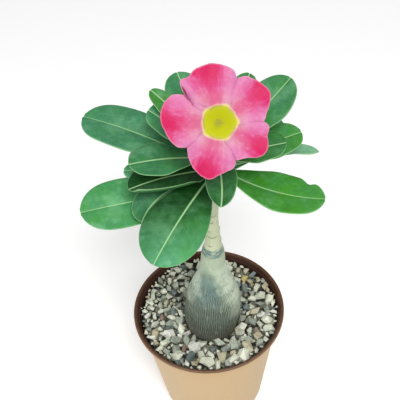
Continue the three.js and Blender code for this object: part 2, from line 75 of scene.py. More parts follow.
# Each leaf from the lowest up. at: height on the stem; heading and turn: where it points and how far
# that swings by the tip; rise and droop: its pitch and how far it bends down; roll: lifts its left
# edge; fold: along the midrib; taper: how sharply it narrows towards its stalk; dent: a notch in its
# left edge; stalk: half width at the stem; rim: height of a margin that stands up; fresh: from
# blue-green to yellow-green; dark: how deep its green is together with painted shade, or below 0 how
# far a painted highlight pales it; fresh_out, dark_out and dark_left: how those change outwards and
# to the left.
LEAF_HABIT = dict(
    turn=0, roll=0, fold=10, taper=1.2, dent=0, stalk=1.1, rim=0, fresh=0.3, dark=0.25, fresh_out=0,
    dark_out=0, dark_left=0,
)
LEAVES = {
    "leaf_01": dict(at=155.6, heading=184.5, turn=65, rise=8, droop=20, length=34.5, width=16.2, roll=-8,
                    fresh=0.1, dark=0.5),
    "leaf_02": dict(at=150.5, heading=190, rise=6, droop=9, length=52, width=23.5, roll=-18, fresh=0.15,
                    fresh_out=0.3, dark=0.1),
    "leaf_03": dict(at=153, heading=104, rise=2, droop=14, length=46, width=23),
    "leaf_04": dict(at=158.9, heading=237.5, turn=-2, rise=3, droop=29, length=44.4, width=25, taper=0.95,
                    stalk=2.4, roll=-16, fold=6, fresh=0.6, fresh_out=-0.45, dark=1.45, dark_out=-1.5,
                    dark_left=-0.35),
    "leaf_05": dict(at=153.8, heading=47, rise=8, droop=5, length=43, width=18, fresh=0.1, dark=0.1),
    "leaf_06": dict(at=161.8, heading=346.5, rise=-35, droop=-40, length=44.5, width=23, taper=1,
                    dent=0.24, fresh=0.85, dark=0.35, dark_out=-0.2),
    "leaf_07": dict(at=158.8, heading=170, rise=3, droop=7, length=34, width=13, fresh=0.05, dark=0),
    "leaf_08": dict(at=161.8, heading=193, turn=18, rise=10.5, droop=6, length=33, width=20.4, taper=0.5,
                    stalk=2.2, roll=-3, fold=16, rim=1.9, fresh=0.5, dark=1.25),
    "leaf_09": dict(at=161, heading=23, turn=-24, rise=-1, droop=4, length=43, width=15, roll=-24,
                    fold=16, fresh=0.1, dark=-1),
    "leaf_10": dict(at=163, heading=156, rise=24, droop=22, length=55, width=25, fresh=0.05, dark=0.4,
                    dark_out=-0.1),
    "leaf_11": dict(at=164, heading=14, rise=14, droop=8, length=35, width=20, fresh=0.7, dark=0.35,
                    dark_out=-0.2),
    "leaf_12": dict(at=164.5, heading=76, rise=16, droop=10, length=40, width=19),
    "leaf_13": dict(at=171, heading=281, turn=-21, rise=5, droop=14, length=27, width=12.8, taper=0.6,
                    roll=6, fold=16, fresh=0.4, dark=0.75),
    "leaf_14": dict(at=167, heading=356, rise=23, droop=12, length=26.5, width=18, fresh=0.55, dark=0.5),
    "leaf_15": dict(at=168.6, heading=194, turn=4, rise=22, droop=17, length=31.5, width=17, roll=-10,
                    fresh=0.25, dark=0.45),
    "leaf_16": dict(at=168, heading=35, rise=24, droop=-6, length=42, width=22, fresh=0.3, dark=0.3),
    "leaf_17": dict(at=168.5, heading=109, rise=32, droop=12, length=38, width=18, fresh=0.1, dark=0.35),
    "leaf_18": dict(at=170, heading=152, rise=36, droop=12, length=28, width=19, fold=20, fresh=0.1,
                    dark=0.15),
    "leaf_19": dict(at=170.5, heading=61, rise=30, droop=14, length=36, width=13, fresh=0.4, dark=0.45),
    "leaf_20": dict(at=171.8, heading=141, rise=44, droop=20, length=32, width=11, fresh=0.8, dark=0.4),
    "leaf_21": dict(at=171.5, heading=90, rise=54, droop=10, length=24, width=9, fold=26, fresh=0.8),
}

# The flower: centre of its mouth, the way it faces, and its tube
MOUTH = Vector((8.7, -19, 199))
FLOWER_ELEVATION = math.radians(40)
THROAT_RADIUS = 6.1
TUBE_LENGTH = 20
PETALS = 5  # and as many sepals and anthers
# The tube's height and radius, as shares of its length and of the throat's radius
TUBE = ((-1, 0.17), (-0.78, 0.52), (-0.5, 0.72), (-0.24, 0.88), (-0.06, 1))
# Each lobe: the angle of its crimson streak, and its outline from notch to notch as angles round the
# mouth and reaches from the middle
LOBES = (
    (97, ((64.5, 16.9), (72, 19.3), (84, 20.4), (94, 21), (112, 20.6), (121, 19.6), (125, 20.1),
          (129.5, 20.5), (133.5, 19), (138, 16.9), (144, 14.6))),
    (176, ((139.5, 16.4), (145, 19.2), (155, 20.9), (170, 21.3), (187, 19.8), (206, 17.5), (213, 15))),
    (249, ((214.5, 15), (224, 16.9), (238, 19.2), (248, 20.5), (255, 20.9), (262.5, 19.4), (271, 18.1),
           (284, 17), (288.5, 15.3))),
    (326, ((290, 15), (304, 16.1), (314, 18.8), (321, 19.9), (327, 19.6), (340, 17.9), (352, 17.6),
           (356.5, 16))),
    (391, ((357.5, 15.9), (366, 17.1), (381, 20.1), (390, 20.9), (407, 19.5), (417, 18.7), (423.5, 16.9))),
)


def length(name, description, millimetres):
    """A length that the user can change."""
    return FloatProperty(
        name=name, description=description, default=millimetres * MM, unit="LENGTH", subtype="DISTANCE"
    )


def light_of(level):
    """The light of one colour level from 0 to 255."""
    share = level / 255
    return share / 12.92 if share <= 0.04045 else ((share + 0.055) / 1.055) ** 2.4


def tone(red, green, blue):
    """A colour from its three levels from 0 to 255."""
    return (light_of(red), light_of(green), light_of(blue))


def colour(name, description, red, green, blue):
    """A colour that the user can change."""
    return FloatVectorProperty(
        name=name, description=description, subtype="COLOR", size=3, min=0, max=1,
        default=tone(red, green, blue),
    )


def in_millimetres(settings):
    """The values of a group of settings, its lengths in millimetres."""
    values = {}
    for name in type(settings).__annotations__:
        value = getattr(settings, name)
        values[name] = value / MM if settings.bl_rna.properties[name].unit == "LENGTH" else value
    return SimpleNamespace(**values)


class PotSettings(bpy.types.PropertyGroup):
    """Sizes and colours of the pot."""

    height: length("Height", "Height of the pot", 66)
    rim_radius: length("Rim radius", "Outer radius of the lip", 37.5)
    lip_height: length("Lip height", "Height of the lip", 2.4)
    lip_width: length("Lip width", "Width of the lip's flat top", 1.2)
    lip_overhang: length("Lip overhang", "How far the lip stands out from the wall", 2.8)
    flare: length("Flare", "Height over which the wall's inside opens out to the lip", 5.5)
    base_radius: length("Base radius", "Outer radius at the base", 26.5)
    wall: length("Wall", "Thickness of the wall", 0.8)
    floor: length("Floor", "Thickness of the floor", 1.4)
    drain_radius: length("Drain hole radius", "Radius of each drain hole", 2.6)
    drain_circle: length("Drain circle", "Radius of the circle that the drain holes lie on", 20.5)
    drain_holes: IntProperty(name="Drain holes", description="Number of drain holes", default=8, min=3)
    rim_colour: colour("Rim", "Colour of the lip", 86, 56, 38)
    # The inside's two browns are darkened with painted shade
    flare_colour: colour("Flare", "Colour of the wall's inside just below the lip", 60, 36, 25)
    inner_colour: colour("Inside", "Colour of the wall's inside", 44, 28, 20)
    # The outside's pale colour is painted light that comes through the wall
    outer_colour: colour("Outside", "Colour of the wall's outside", 188, 160, 117)


class GritSettings(bpy.types.PropertyGroup):
    """The bed of grit and the stones on it."""

    bed: length("Bed", "Height of the packed grit beside the trunk", 58.5)
    edge: length("Edge", "Height of the packed grit against the pot", 62)
    bottom: length("Bottom", "Where the grit meets the potting mix", 53.3)
    largest: length("Largest stone", "Radius of the largest stones", 3.9)
    smallest: length("Smallest stone", "Radius of the smallest stones", 1)
    tries: IntProperty(name="Tries", description="How often a stone is tried for", default=9000, min=100)
    seed: IntProperty(name="Seed", description="Seed of the stones' places", default=11)


class TrunkSettings(bpy.types.PropertyGroup):
    """Relief and colours of the bark."""

    crack_depth: length("Crack depth", "Depth of the fissures in the swollen base", 0.24)
    scar_height: length("Scar height", "How far the leaf scars stand out", 0.5)
    bark_colour: colour("Bark", "Colour of the sunlit bark", 162, 176, 150)
    shade_colour: colour("Blue bark", "Colour of the bluish bark", 80, 112, 111)
    crack_colour: colour("Cracks", "Colour in the fissures", 66, 76, 68)
    base_colour: colour("Base", "Colour of the bark at the soil", 88, 86, 75)
    stem_colour: colour("Stem", "Colour of the green stem", 186, 193, 161)


class LeafSettings(bpy.types.PropertyGroup):
    """Thickness, veins and colours of the leaves."""

    blade: length("Blade", "Thickness of the blade", 0.5)
    vein_pitch: length("Vein pitch", "Distance between side veins", 3.4)
    blue_green: colour("Blue-green", "Colour of the bluest leaves", 68, 140, 98)
    yellow_green: colour("Yellow-green", "Colour of the freshest leaves", 68, 148, 36)
    # Deep green, also painted as shade on the shaded leaves
    deep_green_and_shade: colour("Deep green", "Colour of the darkest leaves", 4, 50, 8)
    rib_colour: colour("Midrib", "Colour of the midrib", 158, 202, 142)
    under_colour: colour("Underside", "Colour of the underside", 128, 174, 122)


class BloomSettings(bpy.types.PropertyGroup):
    """Thickness and colours of the flower."""

    petal: length("Petal", "Thickness of a petal", 0.5)
    step: length("Overlap step", "How far a lobe's edge lies over the next lobe", 0.45)
    crimson: colour("Crimson", "Colour of the lobes' tips", 184, 8, 78)
    pink: colour("Pink", "Colour of the lobes' middles", 188, 50, 110)
    lilac: colour("Lilac", "Colour of the lobes' flanks", 190, 96, 144)
    pale: colour("Pale", "Colour round the throat", 192, 134, 148)
    throat: colour("Throat", "Colour of the throat", 204, 206, 34)
    calyx: colour("Calyx", "Colour of the calyx and stalk", 140, 172, 96)
    anthers: colour("Anthers", "Colour of the anthers", 204, 204, 84)


class StageSettings(bpy.types.PropertyGroup):
    """The camera's lens and the strengths of the lights."""

    lens: FloatProperty(
        name="Lens", description="Focal length", default=0.0675, unit="LENGTH", subtype="DISTANCE_CAMERA"
    )
    sky: FloatProperty(name="Sky", description="Strength of the light from all round", default=0.5, min=0)
    key: FloatProperty(name="Key", description="Power of the key light", default=7.7, unit="POWER", min=0)
    fill: FloatProperty(name="Fill", description="Power of the fill light", default=3, unit="POWER", min=0)


# Materials


class Link:
    """An output of a material's nodes. Arithmetic on it adds Math nodes."""

    def __init__(self, finish, output):
        self.finish = finish
        self.output = output

    def math(self, operation, *others):
        """A Math node of this output and other numbers or links."""
        return self.finish.node("Math", dict(enumerate((self, *others))), operation=operation)

    def __add__(self, other):
        return self.math("ADD", other)

    __radd__ = __add__

    def __sub__(self, other):
        return self.math("SUBTRACT", other)

    def __rsub__(self, other):
        return self.finish.node("Math", {0: other, 1: self}, operation="SUBTRACT")

    def __mul__(self, other):
        return self.math("MULTIPLY", other)

    __rmul__ = __mul__

    def __truediv__(self, other):
        return self.math("DIVIDE", other)

    def __pow__(self, other):
        return self.math("POWER", other)

    def __abs__(self):
        return self.math("ABSOLUTE")

    def cosine(self):
        return self.math("COSINE")

    def clamped(self):
        """Kept between 0 and 1."""
        return self.finish.node("Clamp", {0: self})

    def above(self, low, high):
        """0 below low, 1 above high and smooth between them."""
        return self.finish.node("MapRange", {0: self, 1: low, 2: high}, interpolation_type="SMOOTHSTEP")

    def parts(self):
        """The three numbers of a vector."""
        made = self.finish.node("SeparateXYZ", {0: self}).output.node
        return [Link(self.finish, made.outputs[k]) for k in range(3)]


class Finish:
    """A procedural material, built up from expressions."""

    def __init__(self, name, **constants):
        self.material = bpy.data.materials.new(name)
        self.material.use_nodes = True
        self.nodes = self.material.node_tree.nodes
        self.links = self.material.node_tree.links
        self.shader = next(node for node in self.nodes if node.type == "BSDF_PRINCIPLED")
        self.set(**constants)

    def set(self, **values):
        """Feeds the shader's sockets: base_color feeds Base Color, and so on."""
        sockets = {socket.name.lower().replace(" ", "_"): socket for socket in self.shader.inputs}
        for name, value in values.items():
            self.feed(sockets[name], value)

    def feed(self, socket, value):
        """Links a socket to an expression, or sets its number or colour."""
        if isinstance(value, Link):
            self.links.new(value.output, socket)
        elif socket.type == "RGBA":
            socket.default_value = (*value, 1)
        else:
            socket.default_value = value

    def node(self, kind, values, output=0, **settings):
        """A node of a kind, its settings, and the numbers or links of its sockets."""
        made = self.nodes.new("ShaderNode" + kind)
        for name, value in settings.items():
            setattr(made, name, value)
        for name, value in values.items():
            self.feed(made.inputs[name], value)
        return Link(self, made.outputs[output])

    @cached_property
    def place(self):
        """Where a point of the object is, in metres."""
        return self.node("TexCoord", {}, output="Object")

    def axes(self):
        """How far a point lies along each axis, in millimetres."""
        return [part / MM for part in self.place.parts()]

    def value(self, name):
        """A number that the mesh keeps for each corner."""
        return self.node("Attribute", {}, output="Fac", attribute_name=name)

    def tint(self, name):
        """A colour that the mesh keeps for each corner."""
        return self.node("Attribute", {}, output="Color", attribute_name=name)

    def vector(self, x, y, z):
        """A vector from three numbers or expressions."""
        return self.node("CombineXYZ", {0: x, 1: y, 2: z})

    def spread(self, size, place, stretch):
        """The place and scale of a pattern: of the object itself, where no other place is given."""
        place = place or self.place
        if stretch:
            place = self.node("Mapping", {"Vector": place, "Scale": stretch})
        return {"Vector": place, "Scale": 1 / (size * MM)}

    def noise(self, size, detail=2.0, roughness=0.5, place=None, stretch=None):
        """Soft noise whose features are about size millimetres across."""
        values = {**self.spread(size, place, stretch), "Detail": detail, "Roughness": roughness}
        return self.node("TexNoise", values)

    def cells(self, size, output="Distance", stretch=None):
        """Cells of about a size: how far a point is from its cell's middle, or the cell's own colour."""
        return self.node("TexVoronoi", self.spread(size, None, stretch), output=output)

    def mix(self, share, first, second, blend="MIX"):
        """The first colour where share is 0 and the second where it is 1."""
        values = {0: share, 6: first, 7: second}
        return self.node("Mix", values, output=2, data_type="RGBA", blend_type=blend)

    def coated(self, base, *coats):
        """A base colour under its coats, from the lowest up, each a share and a colour."""
        for share, coat in coats:
            base = self.mix(share, base, coat)
        return base

    def relief(self, height, depth, strength=1.0):
        """Small relief of a depth in millimetres, from a height between 0 and 1."""
        self.set(normal=self.node("Bump", {"Strength": strength, "Distance": depth * MM, "Height": height}))


# Shapes


def lerp(low, high, share):
    """The value at a share of the way from low to high."""
    return low + (high - low) * share


def smooth(value, low, high):
    """0 below low, 1 above high and smooth between them."""
    share = min(max((value - low) / (high - low), 0), 1)
    return share * share * (3 - 2 * share)


def bell(value, width):
    """1 at 0, falling away on both sides within about the width."""
    return math.exp(-((value / width) ** 2))


def on_curve(rows, place):
    """The values at a place, on a smooth curve through rows that each start with their place."""
    last = len(rows) - 1
    low = max((k for k in range(last) if rows[k][0] <= place), default=0)
    here, there = rows[low], rows[low + 1]
    before, after = rows[max(low - 1, 0)], rows[min(low + 2, last)]
    span = there[0] - here[0]
    t = min(max((place - here[0]) / span, 0), 1)
    values = []
    for k in range(1, len(here)):
        leave = (there[k] - before[k]) / (there[0] - before[0]) * span
        arrive = (after[k] - here[k]) / (after[0] - here[0]) * span
        bend = here[k] - there[k]
        square, cube = 3 * bend + 2 * leave + arrive, 2 * bend + leave + arrive
        values.append(here[k] + leave * t - square * t**2 + cube * t**3)
    return values


def trunk_spot(z):
    """Centre and radius of the trunk at a height."""
    x, y = on_curve(TRUNK_LINE, z)
    return Vector((x, y, z)), on_curve(TRUNK_RADII, z)[0]


def sheet(rows, columns):
    """A sheet of quads whose corners keep their place along and across it, from 0 to 1."""
    bm = bmesh.new()
    bmesh.ops.create_grid(bm, x_segments=rows, y_segments=columns, size=0.5)
    along = bm.verts.layers.float.new("along")
    across = bm.verts.layers.float.new("across")
    for vert in bm.verts:
        vert[along] = vert.co.x + 0.5
        vert[across] = vert.co.y + 0.5
    return bm


def shaped(bm, place, numbers=()):
    """Moves each corner to place(along, across, face), which also gives the numbers that it keeps."""
    layers = bm.verts.layers.float
    along, across, face = layers["along"], layers["across"], layers.get("face")
    kept = [layers.new(name) for name in numbers]
    for vert in bm.verts:
        spot, *values = place(vert[along], vert[across], vert[face] if face else 1)
        vert.co = spot * MM
        for layer, value in zip(kept, values):
            vert[layer] = value
    layers.remove(layers["along"])
    layers.remove(layers["across"])


def slab(rows, columns, place, numbers=()):
    """A closed thin piece: face is 1 on its upper side and 0 on its lower one."""
    bm = sheet(rows, columns)
    face = bm.verts.layers.float.new("face")
    made = bmesh.ops.extrude_face_region(bm, geom=bm.faces[:], use_keep_orig=True)
    for item in made["geom"]:
        if isinstance(item, bmesh.types.BMVert):
            item[face] = 1
    shaped(bm, place, numbers)
    return bm


def loft(rows, columns, place, numbers=()):
    """A closed round piece: its first and last rows close up, and across runs once round it."""
    bm = sheet(rows, columns)
    shaped(bm, place, numbers)
    bmesh.ops.remove_doubles(bm, verts=bm.verts[:], dist=0.002 * MM)
    return bm


def joined(parts):
    """Several meshes as one."""
    whole = parts[0]
    for part in parts[1:]:
        mesh = bpy.data.meshes.new("part")
        part.to_mesh(mesh)
        part.free()
        whole.from_mesh(mesh)
        bpy.data.meshes.remove(mesh)
    return whole


def mesh_of(name, bm, sharp=None):
    """A finished mesh, its faces turned outwards, smooth but for edges sharper than an angle."""
    bmesh.ops.recalc_face_normals(bm, faces=bm.faces[:])
    mesh = bpy.data.meshes.new(name)
    bm.to_mesh(mesh)
    bm.free()
    mesh.polygons.foreach_set("use_smooth", [True] * len(mesh.polygons))
    if sharp is not None:
        mesh.set_sharp_from_angle(angle=math.radians(sharp))
    return mesh


def show(data):
    """An object of the scene that has the data, such as a mesh, and its name."""
    made = bpy.data.objects.new(data.name, data)
    bpy.context.scene.collection.objects.link(made)
    return made


def piece(mesh, finish, node):
    """An object that stands for a node of the model and moves with it."""
    mesh.materials.append(finish.material)
    made = show(mesh)
    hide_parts(node)
    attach(made, BODY)


# The pot

RIM_ROUND = 0.55  # radius of the lip's edges
BASE_ROUND = 1.4  # radius of the edge under the base


def pot_radius(pot, z):
    """The pot's outer radius at a height below the lip."""
    return lerp(pot.base_radius, pot.rim_radius - pot.lip_overhang, z / (pot.height - pot.lip_height))


def inner_radius(pot, z):
    """The radius of the pot's inside at a height."""
    return pot_radius(pot, z) - pot.wall


def pot_profile(pot):
    """Radius and height round the pot's wall, from under its middle to the middle of its floor."""
    lip = pot.height - pot.lip_height
    below = pot.height - pot.flare
    return (
        (0, 0),
        (pot.base_radius, 0),
        (pot_radius(pot, lip), lip),
        (pot.rim_radius, lip),
        (pot.rim_radius, pot.height),
        (pot.rim_radius - pot.lip_width, pot.height),
        (inner_radius(pot, below), below),
        (inner_radius(pot, pot.floor), pot.floor),
        (0, pot.floor),
    )


def spun(profile, steps):
    """A closed solid of revolution from radius and height pairs."""
    bm = bmesh.new()
    corners = [bm.verts.new((radius * MM, 0, height * MM)) for radius, height in profile]
    for first, second in zip(corners, corners[1:]):
        bm.edges.new((first, second))
    bmesh.ops.spin(
        bm, geom=bm.verts[:] + bm.edges[:], cent=(0, 0, 0), axis=(0, 0, 1), angle=TURN, steps=steps,
        use_merge=True,
    )
    bmesh.ops.remove_doubles(bm, verts=bm.verts[:], dist=0.001 * MM)
    return bm


def round_off(bm, offset, low, high):
    """Rounds the sharp edges whose middle lies between two heights."""
    edges = [
        edge
        for edge in bm.edges
        if len(edge.link_faces) == 2
        and edge.calc_face_angle() > 0.4
        and low < (edge.verts[0].co.z + edge.verts[1].co.z) / 2 / MM < high
    ]
    bmesh.ops.bevel(
        bm, geom=edges, offset=offset * MM, offset_type="OFFSET", segments=4, profile=0.5,
        affect="EDGES", material=-1, clamp_overlap=True,
    )


def drilled(mesh, pot):
    """The pot's mesh with its drain holes cut."""
    cutter = bmesh.new()
    for k in range(pot.drain_holes):
        angle = TURN * k / pot.drain_holes
        spot = Vector((math.cos(angle), math.sin(angle), 0)) * (pot.drain_circle * MM)
        bmesh.ops.create_cone(
            cutter, cap_ends=True, segments=32, radius1=pot.drain_radius * MM,
            radius2=pot.drain_radius * MM, depth=6 * pot.floor * MM, matrix=Matrix.Translation(spot),
        )
    tool, blank = show(mesh_of("drain_cutter", cutter)), show(mesh)
    cut = blank.modifiers.new("drain holes", "BOOLEAN")
    cut.operation = "DIFFERENCE"
    cut.solver = "EXACT"
    cut.object = tool
    depsgraph = bpy.context.evaluated_depsgraph_get()
    result = bpy.data.meshes.new_from_object(blank.evaluated_get(depsgraph))
    bpy.data.objects.remove(tool)
    bpy.data.objects.remove(blank)
    if len(result.polygons) <= len(mesh.polygons):
        raise RuntimeError("The drain holes weren't cut.")
    return result


def pot_finish(pot):
    """Moulded plastic: brown lip, a brown inside darkened with painted shade, and a pale outside painted as
    light that comes through the wall.
    """
    finish = Finish("pot_plastic", specular_ior_level=0.25)
    x, y, z = finish.axes()
    radius = (x * x + y * y) ** 0.5
    top = pot.height - pot.lip_height
    # Outside is past the middle of the wall, which opens out below the lip
    slope = (pot.rim_radius - pot.lip_overhang - pot.base_radius) / top
    middle = pot.base_radius - 0.5 * pot.wall
    opening = (pot.rim_radius - 0.5 * pot.lip_width - middle - slope * pot.height) / pot.flare
    flared = (z - (pot.height - pot.flare)).math("MAXIMUM", 0) * opening
    outside = (radius - z * slope - flared - middle).above(-0.1, 0.1)
    below_lip = 1 - z.above(pot.height - 1.5, pot.height - 1.1)
    shade = z.above(top - 14, top) * 0.5 + (finish.noise(9, 3) - 0.5) * 0.25
    scuffed = finish.noise(3, 4).above(0.4, 0.75)
    lip = finish.mix(scuffed * 0.3, pot.rim_colour, tone(126, 100, 78))
    base_color = finish.coated(
        # Brown inside and flare, darkened with painted shade
        pot.inner_colour,
        (z.above(pot.height - 5, pot.height - 2.2), pot.flare_colour),
        (z.above(pot.height - 1.2, pot.height - 0.4), lip),
        # Painted highlight along the lip's outer edge
        ((radius - pot.rim_radius).above(-0.6, -0.2) * 0.3, tone(142, 112, 88)),
        # Pale outside, painted light that comes through the wall
        (outside * below_lip, finish.mix(shade, pot.outer_colour, tone(188, 148, 98))),
    )
    finish.set(base_color=base_color, roughness=0.36 + finish.noise(1.2, 3) * 0.2)
    finish.relief(finish.noise(0.8, 3), 0.03, 0.6)
    return finish


def make_pot(pot):
    """The pot, its edges rounded and its drain holes cut."""
    bm = spun(pot_profile(pot), 180)
    round_off(bm, BASE_ROUND, -0.1, 0.1)
    round_off(bm, RIM_ROUND, pot.height - pot.lip_height - 0.6, pot.height + 0.1)
    mesh = drilled(mesh_of("pot_blank", bm), pot)
    mesh.name = "pot_shell"
    mesh.set_sharp_from_angle(angle=math.radians(40))
    piece(mesh, pot_finish(pot), "pot")


def finish_potting_mix():
    """Gives the carried-over potting mix the look of dark bark and coir with flecks of pumice."""
    finish = Finish("potting_mix_crumbs", roughness=0.95)
    grain = finish.noise(1.1, 4)
    soil = finish.mix(grain, tone(34, 26, 20), tone(82, 62, 46))
    soil = finish.mix(0.3, soil, finish.cells(2.2, "Color"), "MULTIPLY")
    fleck = finish.cells(3.4).above(0.18, 0.3)
    finish.set(base_color=finish.mix(fleck, tone(176, 170, 156), soil))
    finish.relief(finish.cells(2.2) + grain * 0.5, 0.6)
    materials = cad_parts["potting_mix"].data.materials
    materials.clear()
    materials.append(finish.material)


# The grit

BED_LEVEL = 0.45  # share of the pot's radius over which the bed stays level before it rises
BED_TOP = 0.9  # share of the bed's rows that form its top
BED_GRAIN = 1.7  # size of the bed's grains
BED_RELIEF = 0.9  # depth of the gaps between them
STONE_SHAPES = 16
CROWDING = 0.7  # how close two stones may lie, as a share of their radii together
# Kinds of stone: share of all stones, and two ends of its colour
STONE_KINDS = (
    (0.42, (224, 226, 208), (192, 196, 178)),
    (0.26, (176, 182, 168), (144, 152, 142)),
    (0.09, (122, 134, 132), (92, 104, 106)),
    (0.11, (190, 184, 160), (168, 158, 130)),
    (0.012, (196, 182, 132), (184, 166, 110)),
    (0.015, (148, 126, 112), (128, 108, 98)),
    (0.07, (234, 233, 224), (218, 218, 210)),
)


def bed_height(grit, reach, inner):
    """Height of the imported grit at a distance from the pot's axis."""
    return lerp(grit.bed, grit.edge, smooth(reach / inner, BED_LEVEL, 1))


def grit_bed(grit, pot):
    """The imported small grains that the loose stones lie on: a ring round the trunk."""
    centre, root = trunk_spot(grit.bed)
    inner = inner_radius(pot, grit.edge)

    def place(along, across, face):
        way = Vector((math.cos(TURN * across), math.sin(TURN * across), 0))
        near = centre + way * (root + 0.15)
        on_top = along < BED_TOP or along >= 1
        share = 0 if along >= 1 else along / BED_TOP if on_top else (1 - along) / (1 - BED_TOP)
        wall = inner if on_top else inner_radius(pot, grit.bottom)
        spot = near.lerp(way * (wall - 0.2), share)
        spot.z = bed_height(grit, math.hypot(spot.x, spot.y), inner) if on_top else grit.bottom
        if 0 < along < BED_TOP:
            gaps = noise.voronoi(Vector((spot.x, spot.y, 0)) / BED_GRAIN)[0]
            spot.z += BED_RELIEF * (min(gaps[1] - gaps[0], 0.8) - 1)
        return (spot,)

    return loft(60, 360, place)


def stone_colour(rng):
    """A stone's colour, from a kind picked by its share."""
    pick = rng.random() * sum(kind[0] for kind in STONE_KINDS)
    for share, first, second in STONE_KINDS:
        pick -= share
        if pick <= 0:
            break
    mixed = rng.random()
    return [light_of(lerp(a, b, mixed)) for a, b in zip(first, second)]


def stone_shape(rng):
    """An angular stone of radius 1 about the origin: the hull of a few points."""
    bm = bmesh.new()
    corners = rng.randint(7, 10)
    flat, slim = rng.uniform(0.55, 0.85), rng.uniform(0.65, 1)
    for k in range(corners):
        height = 1 - 2 * (k + 0.5) / corners
        ring = math.sqrt(1 - height * height)
        angle = k * GOLDEN_ANGLE + rng.uniform(-0.7, 0.7)
        knock = rng.uniform(0.72, 1.26)
        spot = Vector((ring * math.cos(angle), ring * math.sin(angle) * slim, height * flat))
        bm.verts.new(spot * knock)
    made = bmesh.ops.convex_hull(bm, input=bm.verts[:])
    bmesh.ops.delete(bm, geom=made["geom_interior"] + made["geom_unused"], context="VERTS")
    mesh = bpy.data.meshes.new("stone")
    bm.to_mesh(mesh)
    bm.free()
    return mesh


def stone_places(grit, inner, rng):
    """Places for loose stones that crowd each other, large ones first and small ones at the back left."""
    centre, root = trunk_spot(grit.bed + 2)
    placed = []
    for k in range(grit.tries):
        size = lerp(grit.largest, grit.smallest, (k / grit.tries) ** 0.45) * rng.uniform(0.85, 1.1)
        reach = (inner + 1.4 - 0.95 * size) * math.sqrt(rng.random())
        angle = TURN * rng.random()
        x, y = reach * math.cos(angle), reach * math.sin(angle)
        size *= lerp(1, 0.82, smooth(y, -24, 8)) * lerp(0.78, 1, smooth(x, -26, -8))
        if math.hypot(x - centre.x, y - centre.y) < root + 0.75 * size:
            continue
        if all((x - a) ** 2 + (y - b) ** 2 > (CROWDING * (size + c)) ** 2 for a, b, c in placed):
            placed.append((x, y, size))
    return placed


def loose_stones(grit, inner):
    """All the loose stones as one mesh that keeps each one's colour."""
    rng = random.Random(grit.seed)
    shapes = [stone_shape(rng) for _ in range(STONE_SHAPES)]
    bm = bmesh.new()
    tint = bm.verts.layers.float_color.new("tint")
    done = 0
    for x, y, size in stone_places(grit, inner, rng):
        bm.from_mesh(rng.choice(shapes))
        bm.verts.ensure_lookup_table()
        verts = bm.verts[done:]
        done = len(bm.verts)
        reach = math.hypot(x, y)
        height = bed_height(grit, reach, inner) + size * rng.uniform(0, 0.45)
        height += 0.9 * smooth(reach / inner, 0.8, 1)
        hinge = Vector((rng.uniform(-1, 1), rng.uniform(-1, 1), 0)).normalized()
        tilt = Quaternion(hinge, rng.uniform(0, 0.9))
        spin = Quaternion((0, 0, 1), rng.uniform(0, TURN))
        stretch = Matrix.Diagonal((size * rng.uniform(1, 1.2), size * rng.uniform(0.85, 1), size, 1))
        move = Matrix.Translation((x, y, height)) @ (tilt @ spin).to_matrix().to_4x4() @ stretch
        bmesh.ops.transform(bm, matrix=Matrix.Scale(MM, 4) @ move, verts=verts)
        shade = stone_colour(rng)
        for vert in verts:
            vert[tint] = (*shade, 1)
    for mesh in shapes:
        bpy.data.meshes.remove(mesh)
    return bm


def grit_finish():
    """Weathered stone: each stone's own colour, with grain, dust and dark specks."""
    finish = Finish("stone_grit")
    grain = finish.noise(0.7, 4, 0.65)
    patch = finish.noise(2.2, 3)
    stone = finish.mix(grain.above(0.35, 0.75) * 0.5, finish.tint("tint"), tone(226, 224, 208), "SOFT_LIGHT")
    stone = finish.mix(patch.above(0.52, 0.7) * 0.3, stone, tone(96, 98, 92), "MULTIPLY")
    specks = finish.cells(0.55).above(0.12, 0.22)
    finish.set(base_color=finish.mix(specks, tone(84, 84, 78), stone), roughness=0.7 + grain * 0.25)
    finish.relief(grain + patch * 0.6, 0.3, 0.9)
    return finish


def bed_finish():
    """The small grains between the stones, dark partly as their own colour and partly as painted shade in
    the crevices.
    """
    finish = Finish("grit_bed_grains", roughness=0.9)
    grains = finish.cells(BED_GRAIN, "Color").parts()[0]
    # Dark tones that are partly painted shade in the gaps between the stones
    base = finish.mix(grains.above(0.3, 0.7), tone(40, 40, 32), tone(132, 132, 114))
    finish.set(base_color=finish.mix(finish.noise(0.5, 3) * 0.5, base, tone(30, 30, 28)))
    finish.relief(finish.noise(0.6, 4), 0.2)
    return finish


def make_grit(grit, pot):
    """The bed of grit and the stones on it."""
    inner = inner_radius(pot, grit.edge)
    piece(mesh_of("grit_bed", grit_bed(grit, pot)), bed_finish(), "grit")
    piece(mesh_of("grit_stones", loose_stones(grit, inner), sharp=18), grit_finish(), "grit")


# The trunk

# The scars that fallen leaves left on the stem: height, direction in degrees, and half width
SCARS = (
    (118.7, -113, 1.1), (119.6, -12, 1.3), (121, 96, 1.4), (123.9, -98, 2.3), (126.2, -14, 1.1),
    (127.4, -129, 1.2), (129, 40, 1.4), (130.5, 150, 1.3), (133, -108, 1.6), (135.5, 84, 1.3),
    (137, -86, 1.5), (140, 10, 1.2), (143, -140, 1.2), (146, 120, 1.2),
)
ROOT_TOP = 56  # height, just under the grit's surface, up to which the root has few rows of mesh
ROOT_ROWS = 0.04  # share of the rows below that
SWELL_X, SWELL_Y = 2.8, -2.4  # middle of the swollen base
RING = 113.4  # height of the ring of folds on the neck


def scar_relief(z, angle, radius):
    """How far the leaf scars lift the skin there, from 0 to 1, and how dark their lower lines are."""
    lift = pit = 0
    for height, degrees, half in SCARS:
        rise = z - height
        if abs(rise) > 4:
            continue
        swing = ((angle - math.radians(degrees) + math.pi) % TURN - math.pi) * radius
        line = rise + 0.35 - 0.3 * swing * swing / half
        lift = max(lift, bell(math.hypot(swing / half, (rise - 0.4) / 1.1), 0.9))
        pit = max(pit, bell(line, 0.36) * (1 - smooth(abs(swing), 0.6 * half, 1.1 * half)))
    return lift, pit


